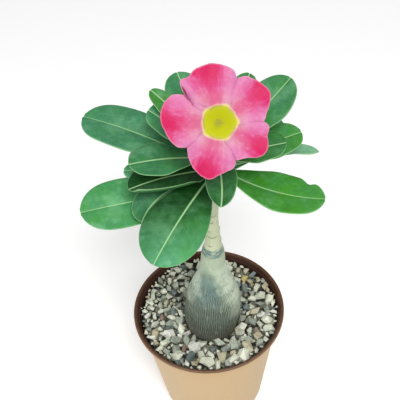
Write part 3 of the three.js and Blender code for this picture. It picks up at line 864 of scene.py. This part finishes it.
def trunk_height(along):
    """Height of a row of the trunk's mesh: few rows under the soil, many above it."""
    if along < ROOT_ROWS:
        return lerp(TRUNK_RADII[0][0], ROOT_TOP, along / ROOT_ROWS)
    return lerp(ROOT_TOP, TRUNK_RADII[-1][0], (along - ROOT_ROWS) / (1 - ROOT_ROWS))


def trunk_skin(trunk):
    """Gives the place of each corner of the bark, with how cracked and how scarred it is there."""

    def place(along, across, face):
        z = trunk_height(along)
        angle = TURN * across
        centre, radius = trunk_spot(z)
        way = Vector((math.cos(angle), math.sin(angle), 0))
        if along <= 0 or along >= 1:
            return centre, 0, 0
        folds = math.sin(5 * angle + z / 6) * math.cos(3 * angle - z / 4)
        skin = centre + way * radius
        # Fissures, coarse and fine, that fade out up the neck
        swollen = smooth(z, ROOT_TOP, 62) * (1 - 0.75 * smooth(z, 92, 104))
        lines = abs(noise.noise(Vector((skin.x * 0.95, skin.y * 0.95, z * 0.1))))
        fine = abs(noise.noise(Vector((skin.x * 1.9, skin.y * 1.9, z * 0.2 + 7))))
        crack = swollen * (0.7 * (1 - smooth(lines, 0, 0.13)) + 0.5 * (1 - smooth(fine, 0, 0.15)))
        # The ring of folds
        ring = bell(z - RING, 2.6)
        wrinkle = ring * (0.16 + 0.16 * math.sin(TURN * z / 1.3 + 2.5 * noise.noise(way * 2)))
        lumps = 0.25 * noise.noise(Vector((skin.x * 0.2, skin.y * 0.2, z * 0.12)))
        lift, pit = scar_relief(z, angle, radius)
        radius = radius * (1 + 0.012 * folds) + wrinkle + lumps * swollen
        radius += trunk.scar_height * lift - trunk.crack_depth * crack * 0.8
        return centre + way * radius, min(crack, 1), pit

    return place


def trunk_finish(trunk):
    """Bark that goes from brown at the soil over bluish grey to a beige-green stem."""
    finish = Finish("desert_rose_bark", specular_ior_level=0.25)
    x, y, z = finish.axes()
    upright = (1, 1, 0.25)
    sunlit = tone(222, 234, 214)
    streak = finish.noise(2.6, 4, 0.6, stretch=upright)
    uneven = (finish.noise(11, 3) - 0.5) * 0.9 + (streak - 0.5) * 0.9
    # Fissures that run up the swollen base, broken into tiers
    swollen = z.above(57, 60) * (1 - z.above(88, 106) * 0.85)
    around = (y - SWELL_Y).math("ARCTAN2", x - SWELL_X)
    drift = finish.noise(2.4, 3, stretch=(1, 1, 0.45)) - 0.5
    ripple = (around * 92 + drift * (TURN * 1.6)).cosine()
    slits = ripple.above(0.1, 0.95)
    hairs = 1 - abs(finish.noise(1, 1, stretch=(1, 1, 0.15)) - 0.5).above(0.01, 0.09)
    tiers = finish.noise(5, 2, stretch=(0.35, 0.35, 1.6)).above(0.35, 0.6)
    cut = (slits * 0.7 + hairs * 0.35) * swollen * (0.3 + tiers * 0.7)
    # Brown that rises from the soil, held back on the right side as painted light
    depth = 1 - (z + uneven * 6).above(68, 93)
    brown = (depth * 0.72 - x.above(5, 13) * 0.3).clamped()
    low = 1 - (z + uneven * 3).above(61, 73)
    # Blue bark up the middle, greener low down
    reach = ((100 - z) * 0.38).math("MAXIMUM", -1.5) + 3.2
    patch = 1 - (abs(x) / reach + uneven).above(0.45, 1.5)
    lower = 1 - (z + uneven * 6).above(79, 91)
    blue = finish.mix(lower, trunk.shade_colour, tone(68, 82, 74))
    # Painted light on both sides of the neck, and on the flanks that slope in towards it
    sheen = (0 - x).above(1.5, 5) + x.above(6, 11) * 0.5
    sheen = sheen * z.above(86, 92) * (1 - z.above(101, 107))
    lean = (z - 77) * 0.3
    flanks = (lean + x).above(8, 15) * z.above(60, 74) * 0.38
    flanks = flanks + (lean - x).above(7.5, 11) * z.above(78, 84) * 0.4
    folds = finish.noise(1.6, 3, stretch=(0.4, 0.4, 2)).above(0.4, 0.6)
    ring = (1 - abs(z - RING).above(1.2, 2.8)) * (0.25 + folds * 0.7)
    flecks = 1 - finish.cells(1.3, stretch=(1, 1, 0.6)).above(0.1, 0.24)
    ridges = 1 - ripple.above(-0.95, -0.3)
    bark = finish.coated(
        trunk.bark_colour,
        (brown, trunk.base_colour),
        (patch * (1 - z.above(92, 108)) * 0.9, blue),
        # Painted light on the neck and flanks
        (sheen * 0.6, sunlit),
        (flanks * (1 - z.above(100, 106)), sunlit),
        (low, trunk.base_colour),
        (z.above(110, 118), trunk.stem_colour),
        (ring, trunk.shade_colour),
        ((cut * 0.9).clamped(), trunk.crack_colour),
        (flecks * 0.25, trunk.crack_colour),
        ((finish.value("crack") * 0.25).clamped(), trunk.crack_colour),
        (finish.value("pit") * 0.85, tone(94, 92, 70)),
        (streak.above(0.55, 0.8) * 0.35 + ridges * swollen * 0.22, tone(206, 212, 190)),
    )
    finish.set(base_color=bark, roughness=0.5 + streak * 0.25)
    grain = finish.noise(0.8, 4, 0.6, stretch=upright)
    finish.relief(streak * 0.5 + grain * 0.3 - cut, 0.24, 0.9)
    return finish


def make_trunk(trunk):
    """The trunk, from the buried root to the tip of the stem."""
    bm = loft(310, 290, trunk_skin(trunk), ("crack", "pit"))
    piece(mesh_of("trunk_bark", bm), trunk_finish(trunk), "trunk")


# The leaves

SEAT = 0.8  # how far the stalk goes into the stem's skin
RIM_BEND = 0.86  # where, from the midrib to the edge, a standing margin bends up
TIP_TAPER = 0.55  # how sharply a blade narrows towards its tip
DENT_PLACE, DENT_SPREAD = 0.84, 0.05  # where the dent lies along the blade, and how far it spreads
VEIN_SLANT, VEIN_BEND = 0.55, 0.014  # how far side veins lean outwards, and how much they bend


def half_width(leaf, u, side):
    """A leaf's half width along its length, with the dent in its left edge."""
    taper = leaf["taper"]
    widest = taper / (taper + TIP_TAPER)
    peak = widest**taper * (1 - widest) ** TIP_TAPER
    blade = leaf["width"] / 2 * u**taper * (1 - u) ** TIP_TAPER / peak
    if side > 0:
        blade *= 1 - leaf["dent"] * bell(u - DENT_PLACE, DENT_SPREAD)
    return math.hypot(blade, leaf["stalk"] * (1 - u))


def leaf_ways(leaf, u):
    """The way that the midrib runs there, and the level direction to its left."""
    pitch = math.radians(leaf["rise"] - leaf["droop"] * u)
    heading = math.radians(leaf["heading"] + leaf["turn"] * u)
    flat = Vector((math.cos(heading), math.sin(heading), 0))
    ahead = flat * math.cos(pitch) + Vector((0, 0, math.sin(pitch)))
    return ahead, Vector((-flat.y, flat.x, 0))


def leaf_spine(leaf, rows):
    """Places and frames along the midrib, closer together towards the tip."""
    slant = abs(math.sin(math.radians(leaf["rise"])))
    centre, radius = trunk_spot(leaf["at"])
    heading = math.radians(leaf["heading"])
    here = centre + Vector((math.cos(heading), math.sin(heading), 0)) * (radius + 0.3 + 0.85 * slant)
    spine = []
    before = 0
    for k in range(rows + 1):
        u = math.sin(k / rows * math.pi / 2)
        here = here + leaf_ways(leaf, (u + before) / 2)[0] * leaf["length"] * (u - before)
        ahead, level = leaf_ways(leaf, u)
        left = Quaternion(ahead, math.radians(leaf["roll"])) @ level
        seat = ahead * SEAT if k == 0 else Vector()
        spine.append((u, here - seat, left, ahead.cross(left)))
        before = u
    return spine


def leaf_blade(leaf, settings, phase):
    """A leaf's closed blade, with its midrib, veins and gently waved margin."""
    rows, columns = 60, 30
    spine = leaf_spine(leaf, rows)
    fold = math.radians(leaf["fold"])

    def place(along, across, face):
        u, here, left, up = spine[round(along * rows)]
        v = 2 * across - 1
        side = abs(v)
        half = half_width(leaf, min(u, 0.996), v)
        rib = half * side
        reach = u * leaf["length"]
        edge = half - rib
        # Folded along the midrib, with a waved margin or one that stands up
        height = half * (side * math.sin(fold) - 0.12 * v * v)
        wave = math.sin(TURN * (2.3 * u + phase + 0.27 * math.copysign(1, v)))
        height += 0.4 * v**4 * wave * smooth(u, 0.2, 0.6) * (0 if leaf["rim"] else 1)
        spread = half * v * math.cos(fold)
        if leaf["rim"] and v > RIM_BEND:
            stands = smooth(u, 0.1, 0.3) * (1 - smooth(u, 0.93, 1))
            spread -= 0.6 * half * math.cos(fold) * (v - RIM_BEND) * stands
            height += leaf["rim"] * (v - RIM_BEND) / (1 - RIM_BEND) * stands
        # Side veins, and a midrib sunk above and standing out beneath
        vein = math.cos(TURN * (reach - VEIN_SLANT * rib - VEIN_BEND * rib * rib) / settings.vein_pitch)
        height -= 0.008 * vein * smooth(rib, 0.8, 2) * smooth(edge, 0.4, 2)
        groove = 0.24 * bell(rib, 0.75) * smooth(u, 0.02, 0.2)
        thin = lerp(0.32, settings.blade, smooth(edge, 0, 1.5))
        if face > 0.5:
            height += thin / 2 - groove
        else:
            height -= thin / 2 + (0.95 * (1 - u) ** 0.8 + 0.12) * bell(rib, 0.8)
        fresh = leaf["fresh"] + leaf["fresh_out"] * u
        dark = leaf["dark"] + leaf["dark_out"] * u + leaf["dark_left"] * v
        return here + left * spread + up * height, half * v, reach, edge, fresh, dark

    return slab(rows, columns, place, ("rib", "reach", "edge", "fresh", "dark"))


def leaf_finish(settings):
    """Waxy leaf skin: pale midrib and margin, faint side veins, mottled green with painted shade and a
    painted sheen, paler beneath.
    """
    finish = Finish("leaf_skin", specular_ior_level=0.16)
    rib, reach, edge = abs(finish.value("rib")), finish.value("reach"), finish.value("edge")
    upper = finish.value("face").above(0.4, 0.6)
    patch = finish.noise(2.6, 3)
    fresh = finish.value("fresh") + (finish.noise(7, 3) - 0.5) * 0.9
    # dark is deep green together with painted shade
    dark = finish.value("dark") + (finish.noise(5, 4) - 0.5) * 0.5
    blotch = finish.noise(12, 4, 0.6).above(0.5, 0.62)
    # Painted sheen in pale patches, stronger where dark is below 0
    painted_sheen = (patch.above(0.42, 0.7) * 0.12 + blotch * 0.24) * (1 - dark.clamped() * 0.8)
    painted_sheen = painted_sheen + (0 - dark).above(0.3, 1) * 0.6
    lines = reach - rib * VEIN_SLANT - rib * rib * VEIN_BEND
    wave = (lines * (TURN / settings.vein_pitch)).cosine()
    vein = wave.above(0.86, 1) * rib.above(0.4, 1.4) * edge.above(0.5, 2.4)
    green = finish.coated(
        settings.blue_green,
        (fresh.clamped(), settings.yellow_green),
        (dark.clamped() * 0.92, settings.deep_green_and_shade),
        (painted_sheen, tone(134, 190, 150)),
        (vein * 0.035, settings.rib_colour),
    )
    under = finish.coated(
        settings.under_colour,
        (patch * 0.5, tone(96, 150, 100)),
        (vein * 0.4, tone(74, 128, 78)),
        # Darker beneath where dark is high, partly painted shade
        (dark.above(0.5, 0.9) * 0.9, tone(34, 92, 40)),
    )
    midrib = 1 - (rib / (0.52 - reach * 0.0075)).above(0.55, 1.25)
    margin = 1 - edge.above(0.08, 0.42)
    skin = finish.coated(
        under,
        (upper, green),
        (midrib * 0.85, settings.rib_colour),
        (margin * 0.5, tone(150, 196, 140)),
    )
    finish.set(base_color=skin, roughness=0.36 + finish.noise(3, 4) * 0.2)
    finish.relief(wave * 0.03 + finish.noise(0.45, 3) * 0.4 + patch * 0.5, 0.09, 0.7)
    return finish


def make_leaves(settings):
    """Every leaf, each with its own place in the waves of the margins."""
    finish = leaf_finish(settings)
    for k, (name, habit) in enumerate(LEAVES.items()):
        bm = leaf_blade({**LEAF_HABIT, **habit}, settings, 0.37 * k)
        piece(mesh_of(name + "_blade", bm), finish, name)


# The flower

AXIS = Vector((0, -math.cos(FLOWER_ELEVATION), math.sin(FLOWER_ELEVATION)))
RIGHT = Vector((1, 0, 0))
TOP = AXIS.cross(RIGHT)
HIDDEN = 0.14  # share of a lobe's width that lies under the lobe before it
TUBE_SHARE = 0.34  # share of a lobe's rows that form the tube
SCROLL = 0.79  # where, across the top lobe, its loose edge begins to roll up
CURL = 1.5  # how far that edge turns, in radians
CALYX_SEAT = -TUBE_LENGTH - 1.1  # height of the calyx, from the mouth down the flower's axis


def in_flower(radius, angle, height):
    """A point from its radius and angle round the flower's axis and its height above the mouth."""
    return MOUTH + RIGHT * (radius * math.cos(angle)) + TOP * (radius * math.sin(angle)) + AXIS * height


def lobe_edges(k, t):
    """The angles that a lobe starts and ends at: shared seams in the tube, overlaps further out."""
    outline, before, following = LOBES[k][1], LOBES[k - 1][1], LOBES[(k + 1) % PETALS][1]
    seam_start = (outline[0][0] + before[-1][0] - (360 if k == 0 else 0)) / 2
    seam_end = (outline[-1][0] + following[0][0] + (360 if k == PETALS - 1 else 0)) / 2
    share = smooth(t, 0, 0.3)
    return lerp(seam_start, outline[0][0], share), lerp(seam_end, outline[-1][0], share)


def petal_slab(k, settings):
    """One fifth of the corolla: its strip of the tube, and the lobe that opens from it."""
    streak, outline = LOBES[k]
    first, last = outline[0][0], outline[-1][0]
    thick, step = settings.petal, settings.step

    def lobe_reach(share):
        """How far the lobe reaches there, its edge slightly uneven."""
        reach = on_curve(outline, lerp(first, last, max(share, 0)))[0]
        reach += 0.22 * noise.noise(Vector((share * 9, 3.1 * k, 0)))
        reach += 0.14 * noise.noise(Vector((share * 24, 3.1 * k, 5)))
        return reach * (1 - 0.5 * (max(-share, 0) / HIDDEN) ** 1.5)

    def place(along, across, face):
        share = lerp(-HIDDEN, 1, across)
        below = 0 if face > 0.5 else 1
        t = max((along - TUBE_SHARE) / (1 - TUBE_SHARE), 0)
        start, end = lobe_edges(k, t)
        degrees = lerp(start, end, share)
        side = (degrees - streak) / (last - streak if degrees > streak else streak - first)
        under = 0.75 * thick * smooth(-share, 0, 0.04) * (1 - smooth(t, 0, 0.5))
        angle = math.radians(degrees)
        if along <= TUBE_SHARE:
            depth = lerp(TUBE[0][0], TUBE[-1][0], along / TUBE_SHARE)
            radius = THROAT_RADIUS * on_curve(TUBE, depth)[0] + under + below * thick
            spot = in_flower(radius, angle, depth * TUBE_LENGTH - below * 0.5 * thick)
            return spot, radius, side, 0, 9
        reach = lobe_reach(share)
        radius = lerp(THROAT_RADIUS, reach, t**0.9)
        # How far off the margin is. Only the top lobe's outer sides thin out fully
        held = 0 if k == 0 and t > 0.6 else 0.4
        edge = min(reach - radius, (1 - share) * radius * 1.1 + held) if share > 0 else reach - radius
        thin = lerp(0.3, thick, smooth(edge, 0, 2.5))
        # A shallow dish whose edge lies over the next lobe, with waves, dents and a keel
        height = -1.2 + 2.6 * t - 1.9 * t * t - under + 0.4 * smooth(t, 0, 0.2)
        height += step * (share - 0.5) * smooth(t, 0.2, 1)
        height += 0.45 * t**3 * math.sin(TURN * (2.3 * share + 0.31 * k))
        height += 0.5 * t * t * noise.noise(Vector((side * 1.7, t * 1.3, 3 * k)))
        height -= 0.45 * bell(side, 0.22) * t * (1 - 0.6 * t)
        height -= 0.7 * smooth(abs(side), 0.5, 1) * t * t
        # The top lobe's loose edge rolls up
        if k == 0 and share > SCROLL and t > 0.3:
            side = 1 + 0.3 * smooth(share, SCROLL, 1) * smooth(t, 0.45, 0.75)
            width = math.radians(last - first) * (1 - SCROLL) * radius
            turn = CURL * (share - SCROLL) / (1 - SCROLL) * smooth(t, 0.45, 0.75)
            if turn > 0:
                coil = width / CURL / smooth(t, 0.45, 0.75)
                angle = math.radians(lerp(start, end, SCROLL)) + coil * math.sin(turn) / radius
                height += coil * (1 - math.cos(turn))
        outward = below * thin * (1 - smooth(t, 0, 0.3))
        height -= below * thin * smooth(t, -0.2, 0.3)
        return in_flower(radius + outward, angle, height), radius, side, t, edge

    return slab(56, 44, place, ("out", "side", "tip", "edge"))


def bloom_finish(settings):
    """Satin petals: crimson streaks that fade to pink, lilac flanks, and a yellow-green throat lit by
    painted light.
    """
    finish = Finish("petal_skin", specular_ior_level=0.2, subsurface_weight=0.06, subsurface_scale=0.001)
    out, turned, tip, edge = (finish.value(name) for name in ("out", "side", "tip", "edge"))
    side = abs(turned)
    cloud = finish.noise(5, 1) - 0.5
    fine = finish.noise(1.8, 3) - 0.5
    rays = finish.noise(0.7, 4, place=finish.vector(turned * 0.02, tip * 0.004, out * 0.0002)) - 0.5
    sweep = finish.vector(turned * 0.016, tip * 0.003, finish.axes()[0] * 0.0004)
    band = finish.noise(2, 3, place=sweep) - 0.5
    # From the middle of a lobe to its flanks: crimson, pink and lilac
    near = 1 - (side + cloud * 0.5 + band * 0.8 + rays * 0.4).above(0.1, 0.95)
    streak = 1 - (side / (tip * 0.28 + 0.14) + cloud * 0.7 + band * 1.3 + rays).above(0.1, 1.7)
    streak = (streak * (tip + rays * 0.5).above(0.12, 0.85) * 1.15).clamped()
    flank = side.above(0.4, 0.9) * (0.35 + tip.above(0.6, 1) * 0.25) * (1 + fine)
    curl = turned.above(1.03, 1.12)
    petal = finish.coated(
        settings.pale,
        ((tip + cloud * 0.6).above(0.1, 0.6), settings.lilac),
        (near * (0.65 + tip * 0.35), settings.pink),
        (streak, settings.crimson),
        (flank.clamped(), tone(196, 126, 164)),
        ((fine * (1.1 - streak)).clamped(), tone(206, 150, 182)),
        # Painted shade inside the top lobe's rolled edge, over its crimson
        (curl * tip.above(0.72, 0.86) * 0.9, tone(110, 14, 44)),
        ((1 - edge.above(0.1, 0.6)) * (0.4 + curl * 0.5), tone(226, 160, 182)),
    )
    # The backs of the lobes, and the throat, which shines with painted light
    vein = (1 - side.above(0.02, 0.2)) * 0.5 + rays.above(0, 0.25) * 0.3
    back = 1 - finish.value("face").above(0.02, 0.1)
    reverse = finish.coated(
        tone(206, 196, 140), (out.above(3.5, 7.5), tone(216, 128, 158)), (vein.clamped(), tone(196, 84, 124))
    )
    centre = out + cloud * 0.9 - side.above(0.3, 1.2) * 0.75
    throat = finish.mix(centre.above(4.6, 5.8), settings.throat, tone(206, 204, 84))
    # Where the throat gives off painted light
    painted_throat_light = (1 - centre.above(5.2, 6.1)) * (1 - back)
    base_color = finish.coated(
        throat,
        (centre.above(5.5, 6.2), tone(214, 190, 146)),
        (centre.above(5.8, 6.9), petal),
        (back, reverse),
        # The throat's base is darkened under its painted light so that it looks evenly lit
        (painted_throat_light * 0.72, tone(70, 74, 10)),
    )
    finish.set(
        base_color=base_color,
        roughness=0.5 + cloud * 0.15,
        emission_color=finish.mix(painted_throat_light, (0, 0, 0), throat),
        emission_strength=0.7,
    )
    finish.relief(rays + fine * 0.4, 0.12, 0.7)
    return finish


def make_bloom(settings):
    """The tube and its lobes."""
    bm = joined([petal_slab(k, settings) for k in range(PETALS)])
    piece(mesh_of("bloom", bm), bloom_finish(settings), "corolla")


def stalk_spot(t):
    """A point of the flower's stalk, from the stem's tip to the foot of the calyx."""
    seat = trunk_spot(TRUNK_RADII[-1][0])[0] - Vector((0, 0, 0.6))
    neck = in_flower(0, 0, CALYX_SEAT - 5)
    bow = seat.lerp(neck, 0.5) + Vector((0.4, 1, 1))
    cup = in_flower(0, 0, CALYX_SEAT - 0.5)
    rows = ((0, *seat), (0.38, *bow), (0.72, *neck), (1, *cup))
    return Vector(on_curve(rows, t))


def stalk_skin(along, across, face):
    """A corner of the stalk's round skin."""
    here = stalk_spot(along)
    if along <= 0 or along >= 1:
        return (here,)
    ahead = (stalk_spot(min(along + 0.01, 1)) - stalk_spot(max(along - 0.01, 0))).normalized()
    level = ahead.cross(RIGHT).normalized()
    radius = lerp(1.3, 1.5, along) * (1 + 0.05 * math.sin(4 * TURN * across + 9 * along))
    angle = TURN * across
    return (here + level * (radius * math.cos(angle)) + ahead.cross(level) * (radius * math.sin(angle)),)


# The calyx cup from its foot to its mouth: share of the way, radius, and height against its seat
CUP = ((0, 0, -2.6), (0.15, 1.4, -2.5), (0.4, 2.9, -1.4), (0.7, 3.6, -0.2), (0.85, 3.7, 0.3), (1, 0, 0.2))


def cup_skin(along, across, face):
    """A corner of the calyx cup."""
    radius, height = on_curve(CUP, along)
    if along <= 0 or along >= 1:
        radius = 0
    return (in_flower(radius, TURN * across, height + CALYX_SEAT),)


def sepal_slab(k):
    """One pointed sepal that stands beside the tube."""
    middle = TURN * (k + 0.5) / PETALS

    def place(along, across, face):
        v = 2 * across - 1
        half = 0.42 * (1 - min(along, 0.985)) ** 0.7 * (1 - 0.3 * bell(along, 0.12)) + 0.04
        radius = lerp(3.4, 5.4, along**1.3) + (0.2 if face > 0.5 else -0.2) * (1 - 0.6 * v * v)
        radius += 0.25 * bell(v, 0.3) * (1 - along) * (1 if face > 0.5 else 0) - 0.3 * v * v
        return (in_flower(radius, middle + v * half, CALYX_SEAT - 0.6 + 7.6 * along),)

    return slab(18, 10, place)


def calyx_finish(settings):
    """Green flesh with a faint blush and short down."""
    finish = Finish("calyx_skin")
    cloud = finish.noise(2.5, 3)
    green = finish.mix(cloud.above(0.35, 0.7), settings.calyx, tone(112, 150, 80))
    blush = finish.noise(5, 2).above(0.5, 0.75) * 0.4
    finish.set(base_color=finish.mix(blush, green, tone(186, 120, 104)), roughness=0.42 + cloud * 0.2)
    finish.relief(finish.noise(0.4, 3), 0.08)
    return finish


def make_calyx(settings):
    """The flower's stalk, the calyx cup and its sepals."""
    parts = [loft(40, 24, stalk_skin), loft(14, 40, cup_skin)]
    parts += [sepal_slab(k) for k in range(PETALS)]
    mesh = mesh_of("calyx_with_stalk", joined(parts))
    piece(mesh, calyx_finish(settings), "calyx_and_stalk")


# The cone of anthers from its foot to its tip: share of the way, height and radius
ANTHER_CONE = ((0, -19.7, 0.9), (0.3, -15.5, 1.6), (0.7, -11, 1.2), (1, -7.6, 0.3))


def cone_skin(along, across, face):
    """A corner of the cone of five anthers, pressed together."""
    height, radius = on_curve(ANTHER_CONE, along)
    if along <= 0 or along >= 1:
        radius = 0
    ribbed = radius * (0.86 + 0.14 * math.cos(PETALS * TURN * across))
    return (in_flower(ribbed, TURN * across, height),)


def filament(k):
    """One of the five slender tails that rise from the anthers towards the mouth."""
    turn = TURN * (k + 0.3) / PETALS

    def place(along, across, face):
        height = lerp(-9.5, -1.6 - 0.5 * (k % 2), along)
        lean = lerp(0.6, 1.5 + 0.4 * (k % 3), along**1.6)
        twist = turn + 0.7 * along
        thick = 0 if along <= 0 or along >= 1 else lerp(0.34, 0.16, along)
        centre = in_flower(lean, twist, height)
        way = RIGHT * math.cos(TURN * across) + TOP * math.sin(TURN * across)
        return (centre + way * thick,)

    return loft(16, 8, place)


def anther_finish(settings):
    """Yellow down, dark beneath the painted light that lets it shine a little in the shaded throat."""
    finish = Finish("anther_down", roughness=0.6, base_color=tone(90, 90, 24), emission_strength=0.62)
    cloud = finish.noise(0.9, 3)
    finish.set(emission_color=finish.mix(cloud.above(0.3, 0.7), settings.anthers, tone(188, 180, 60)))
    finish.relief(finish.noise(0.3, 3), 0.08)
    return finish


def make_anthers(settings):
    """The cone of anthers and its tails."""
    parts = [loft(24, 40, cone_skin)] + [filament(k) for k in range(PETALS)]
    mesh = mesh_of("anthers_with_tails", joined(parts))
    piece(mesh, anther_finish(settings), "anther_cone")


# The stage

CAMERA_PLACE = Vector((-0.352, -227.393, 368.808))
CAMERA_RIGHT = Vector((0.99731698, -0.05173698, -0.05178926))
CAMERA_UP = Vector((0.07320412, 0.70485339, 0.70556563))
TARGET = Vector((0, 0, 110))
# Each lamp: its name, its place and its width, in metres
LAMPS = (("key", (0.12, -0.55, 0.95), 0.35), ("fill", (-0.7, -0.6, 0.6), 0.9))
FLOOR_REACH = 6  # how far the floor reaches to each side, in metres


def add_camera(stage):
    """The camera that sees the plant as the photo does."""
    data = bpy.data.cameras.new("camera")
    data.lens = stage.lens / MM
    data.sensor_width = 36
    data.clip_start = 0.02
    camera = show(data)
    turn = Matrix((CAMERA_RIGHT, CAMERA_UP, CAMERA_RIGHT.cross(CAMERA_UP))).transposed()
    camera.matrix_world = Matrix.Translation(CAMERA_PLACE * MM) @ turn.to_4x4()
    bpy.context.scene.camera = camera


def add_lamp(name, place, size, power):
    """A square softbox that faces the plant."""
    data = bpy.data.lights.new(name, "AREA")
    data.size = size
    data.energy = power
    lamp = show(data)
    lamp.location = place
    lamp.rotation_euler = (TARGET * MM - Vector(place)).to_track_quat("-Z", "Y").to_euler()


def add_floor():
    """A plain pale floor, wide enough for every view."""
    bm = bmesh.new()
    bmesh.ops.create_grid(bm, x_segments=8, y_segments=8, size=FLOOR_REACH)
    finish = Finish(
        "floor_paint", roughness=0.9, base_color=(0.93, 0.93, 0.93), specular_ior_level=0.1,
        emission_color=(1, 1, 1), emission_strength=0.16,
    )
    mesh = bpy.data.meshes.new("floor")
    bm.to_mesh(mesh)
    bm.free()
    mesh.materials.append(finish.material)
    show(mesh)


def set_sky(stage):
    """Soft white light from all round, and colours shown as they are."""
    world = bpy.data.worlds.new("soft_sky")
    world.use_nodes = True
    sky = world.node_tree.nodes["Background"]
    sky.inputs["Color"].default_value = (1, 1, 1, 1)
    sky.inputs["Strength"].default_value = stage.sky
    bpy.context.scene.world = world
    bpy.context.scene.view_settings.view_transform = "Standard"
    bpy.context.scene.view_settings.look = "None"


# Operators


class Maker(bpy.types.Operator):
    """Makes one group of pieces."""

    bl_options = {"REGISTER", "UNDO"}

    def execute(self, context):
        self.make(context.scene)
        return {"FINISHED"}


class DESERTROSE_OT_pot(Maker):
    """Makes the pot: tapered wall, rounded lip and drain holes"""

    bl_idname = "desert_rose.pot"
    bl_label = "Pot"

    def make(self, scene):
        make_pot(in_millimetres(scene.desert_rose_pot))


class DESERTROSE_OT_potting_mix(Maker):
    """Gives the potting mix its finish"""

    bl_idname = "desert_rose.potting_mix"
    bl_label = "Potting Mix"

    def make(self, scene):
        finish_potting_mix()


class DESERTROSE_OT_grit(Maker):
    """Makes the bed of grit and the loose stones on it"""

    bl_idname = "desert_rose.grit"
    bl_label = "Grit"

    def make(self, scene):
        make_grit(in_millimetres(scene.desert_rose_grit), in_millimetres(scene.desert_rose_pot))


class DESERTROSE_OT_trunk(Maker):
    """Makes the swollen trunk with its fissures and leaf scars"""

    bl_idname = "desert_rose.trunk"
    bl_label = "Trunk"

    def make(self, scene):
        make_trunk(in_millimetres(scene.desert_rose_trunk))


class DESERTROSE_OT_leaves(Maker):
    """Makes every leaf of the rosette"""

    bl_idname = "desert_rose.leaves"
    bl_label = "Leaves"

    def make(self, scene):
        make_leaves(in_millimetres(scene.desert_rose_leaf))


class DESERTROSE_OT_bloom(Maker):
    """Makes the flower's tube and lobes"""

    bl_idname = "desert_rose.bloom"
    bl_label = "Bloom"

    def make(self, scene):
        make_bloom(in_millimetres(scene.desert_rose_bloom))


class DESERTROSE_OT_calyx(Maker):
    """Makes the flower's stalk, cup and sepals"""

    bl_idname = "desert_rose.calyx"
    bl_label = "Calyx and Stalk"

    def make(self, scene):
        make_calyx(in_millimetres(scene.desert_rose_bloom))


class DESERTROSE_OT_anthers(Maker):
    """Makes the cone of anthers in the throat"""

    bl_idname = "desert_rose.anthers"
    bl_label = "Anthers"

    def make(self, scene):
        make_anthers(in_millimetres(scene.desert_rose_bloom))


class DESERTROSE_OT_stage(Maker):
    """Makes the floor, lights and camera"""

    bl_idname = "desert_rose.stage"
    bl_label = "Stage"

    def make(self, scene):
        stage = scene.desert_rose_stage
        add_floor()
        set_sky(stage)
        for name, place, size in LAMPS:
            add_lamp(name, place, size, getattr(stage, name))
        add_camera(stage)


class DESERTROSE_PT_panel(bpy.types.Panel):
    """Lists the operators and the settings that they read"""

    bl_label = "Potted Desert Rose"
    bl_space_type = "VIEW_3D"
    bl_region_type = "UI"
    bl_category = "Desert Rose"

    def draw(self, context):
        for maker in MAKERS:
            self.layout.operator(maker.bl_idname)
        for name in SETTINGS:
            box = self.layout.box()
            settings = getattr(context.scene, name)
            for prop in type(settings).__annotations__:
                box.prop(settings, prop)


MAKERS = (
    DESERTROSE_OT_pot,
    DESERTROSE_OT_potting_mix,
    DESERTROSE_OT_grit,
    DESERTROSE_OT_trunk,
    DESERTROSE_OT_leaves,
    DESERTROSE_OT_bloom,
    DESERTROSE_OT_calyx,
    DESERTROSE_OT_anthers,
    DESERTROSE_OT_stage,
)
SETTINGS = {
    "desert_rose_pot": PotSettings,
    "desert_rose_grit": GritSettings,
    "desert_rose_trunk": TrunkSettings,
    "desert_rose_leaf": LeafSettings,
    "desert_rose_bloom": BloomSettings,
    "desert_rose_stage": StageSettings,
}
CLASSES = (*SETTINGS.values(), *MAKERS, DESERTROSE_PT_panel)


def register():
    """Adds the operators, the panel and the settings to Blender."""
    for each in CLASSES:
        bpy.utils.register_class(each)
    for name, group in SETTINGS.items():
        setattr(bpy.types.Scene, name, PointerProperty(type=group))


def unregister():
    """Takes them away again."""
    for name in SETTINGS:
        delattr(bpy.types.Scene, name)
    for each in reversed(CLASSES):
        bpy.utils.unregister_class(each)


def main():
    """Registers the add-on, then runs every operator."""
    register()
    for maker in MAKERS:
        group, action = maker.bl_idname.split(".")
        getattr(getattr(bpy.ops, group), action)()


if __name__ == "__main__":
    main()
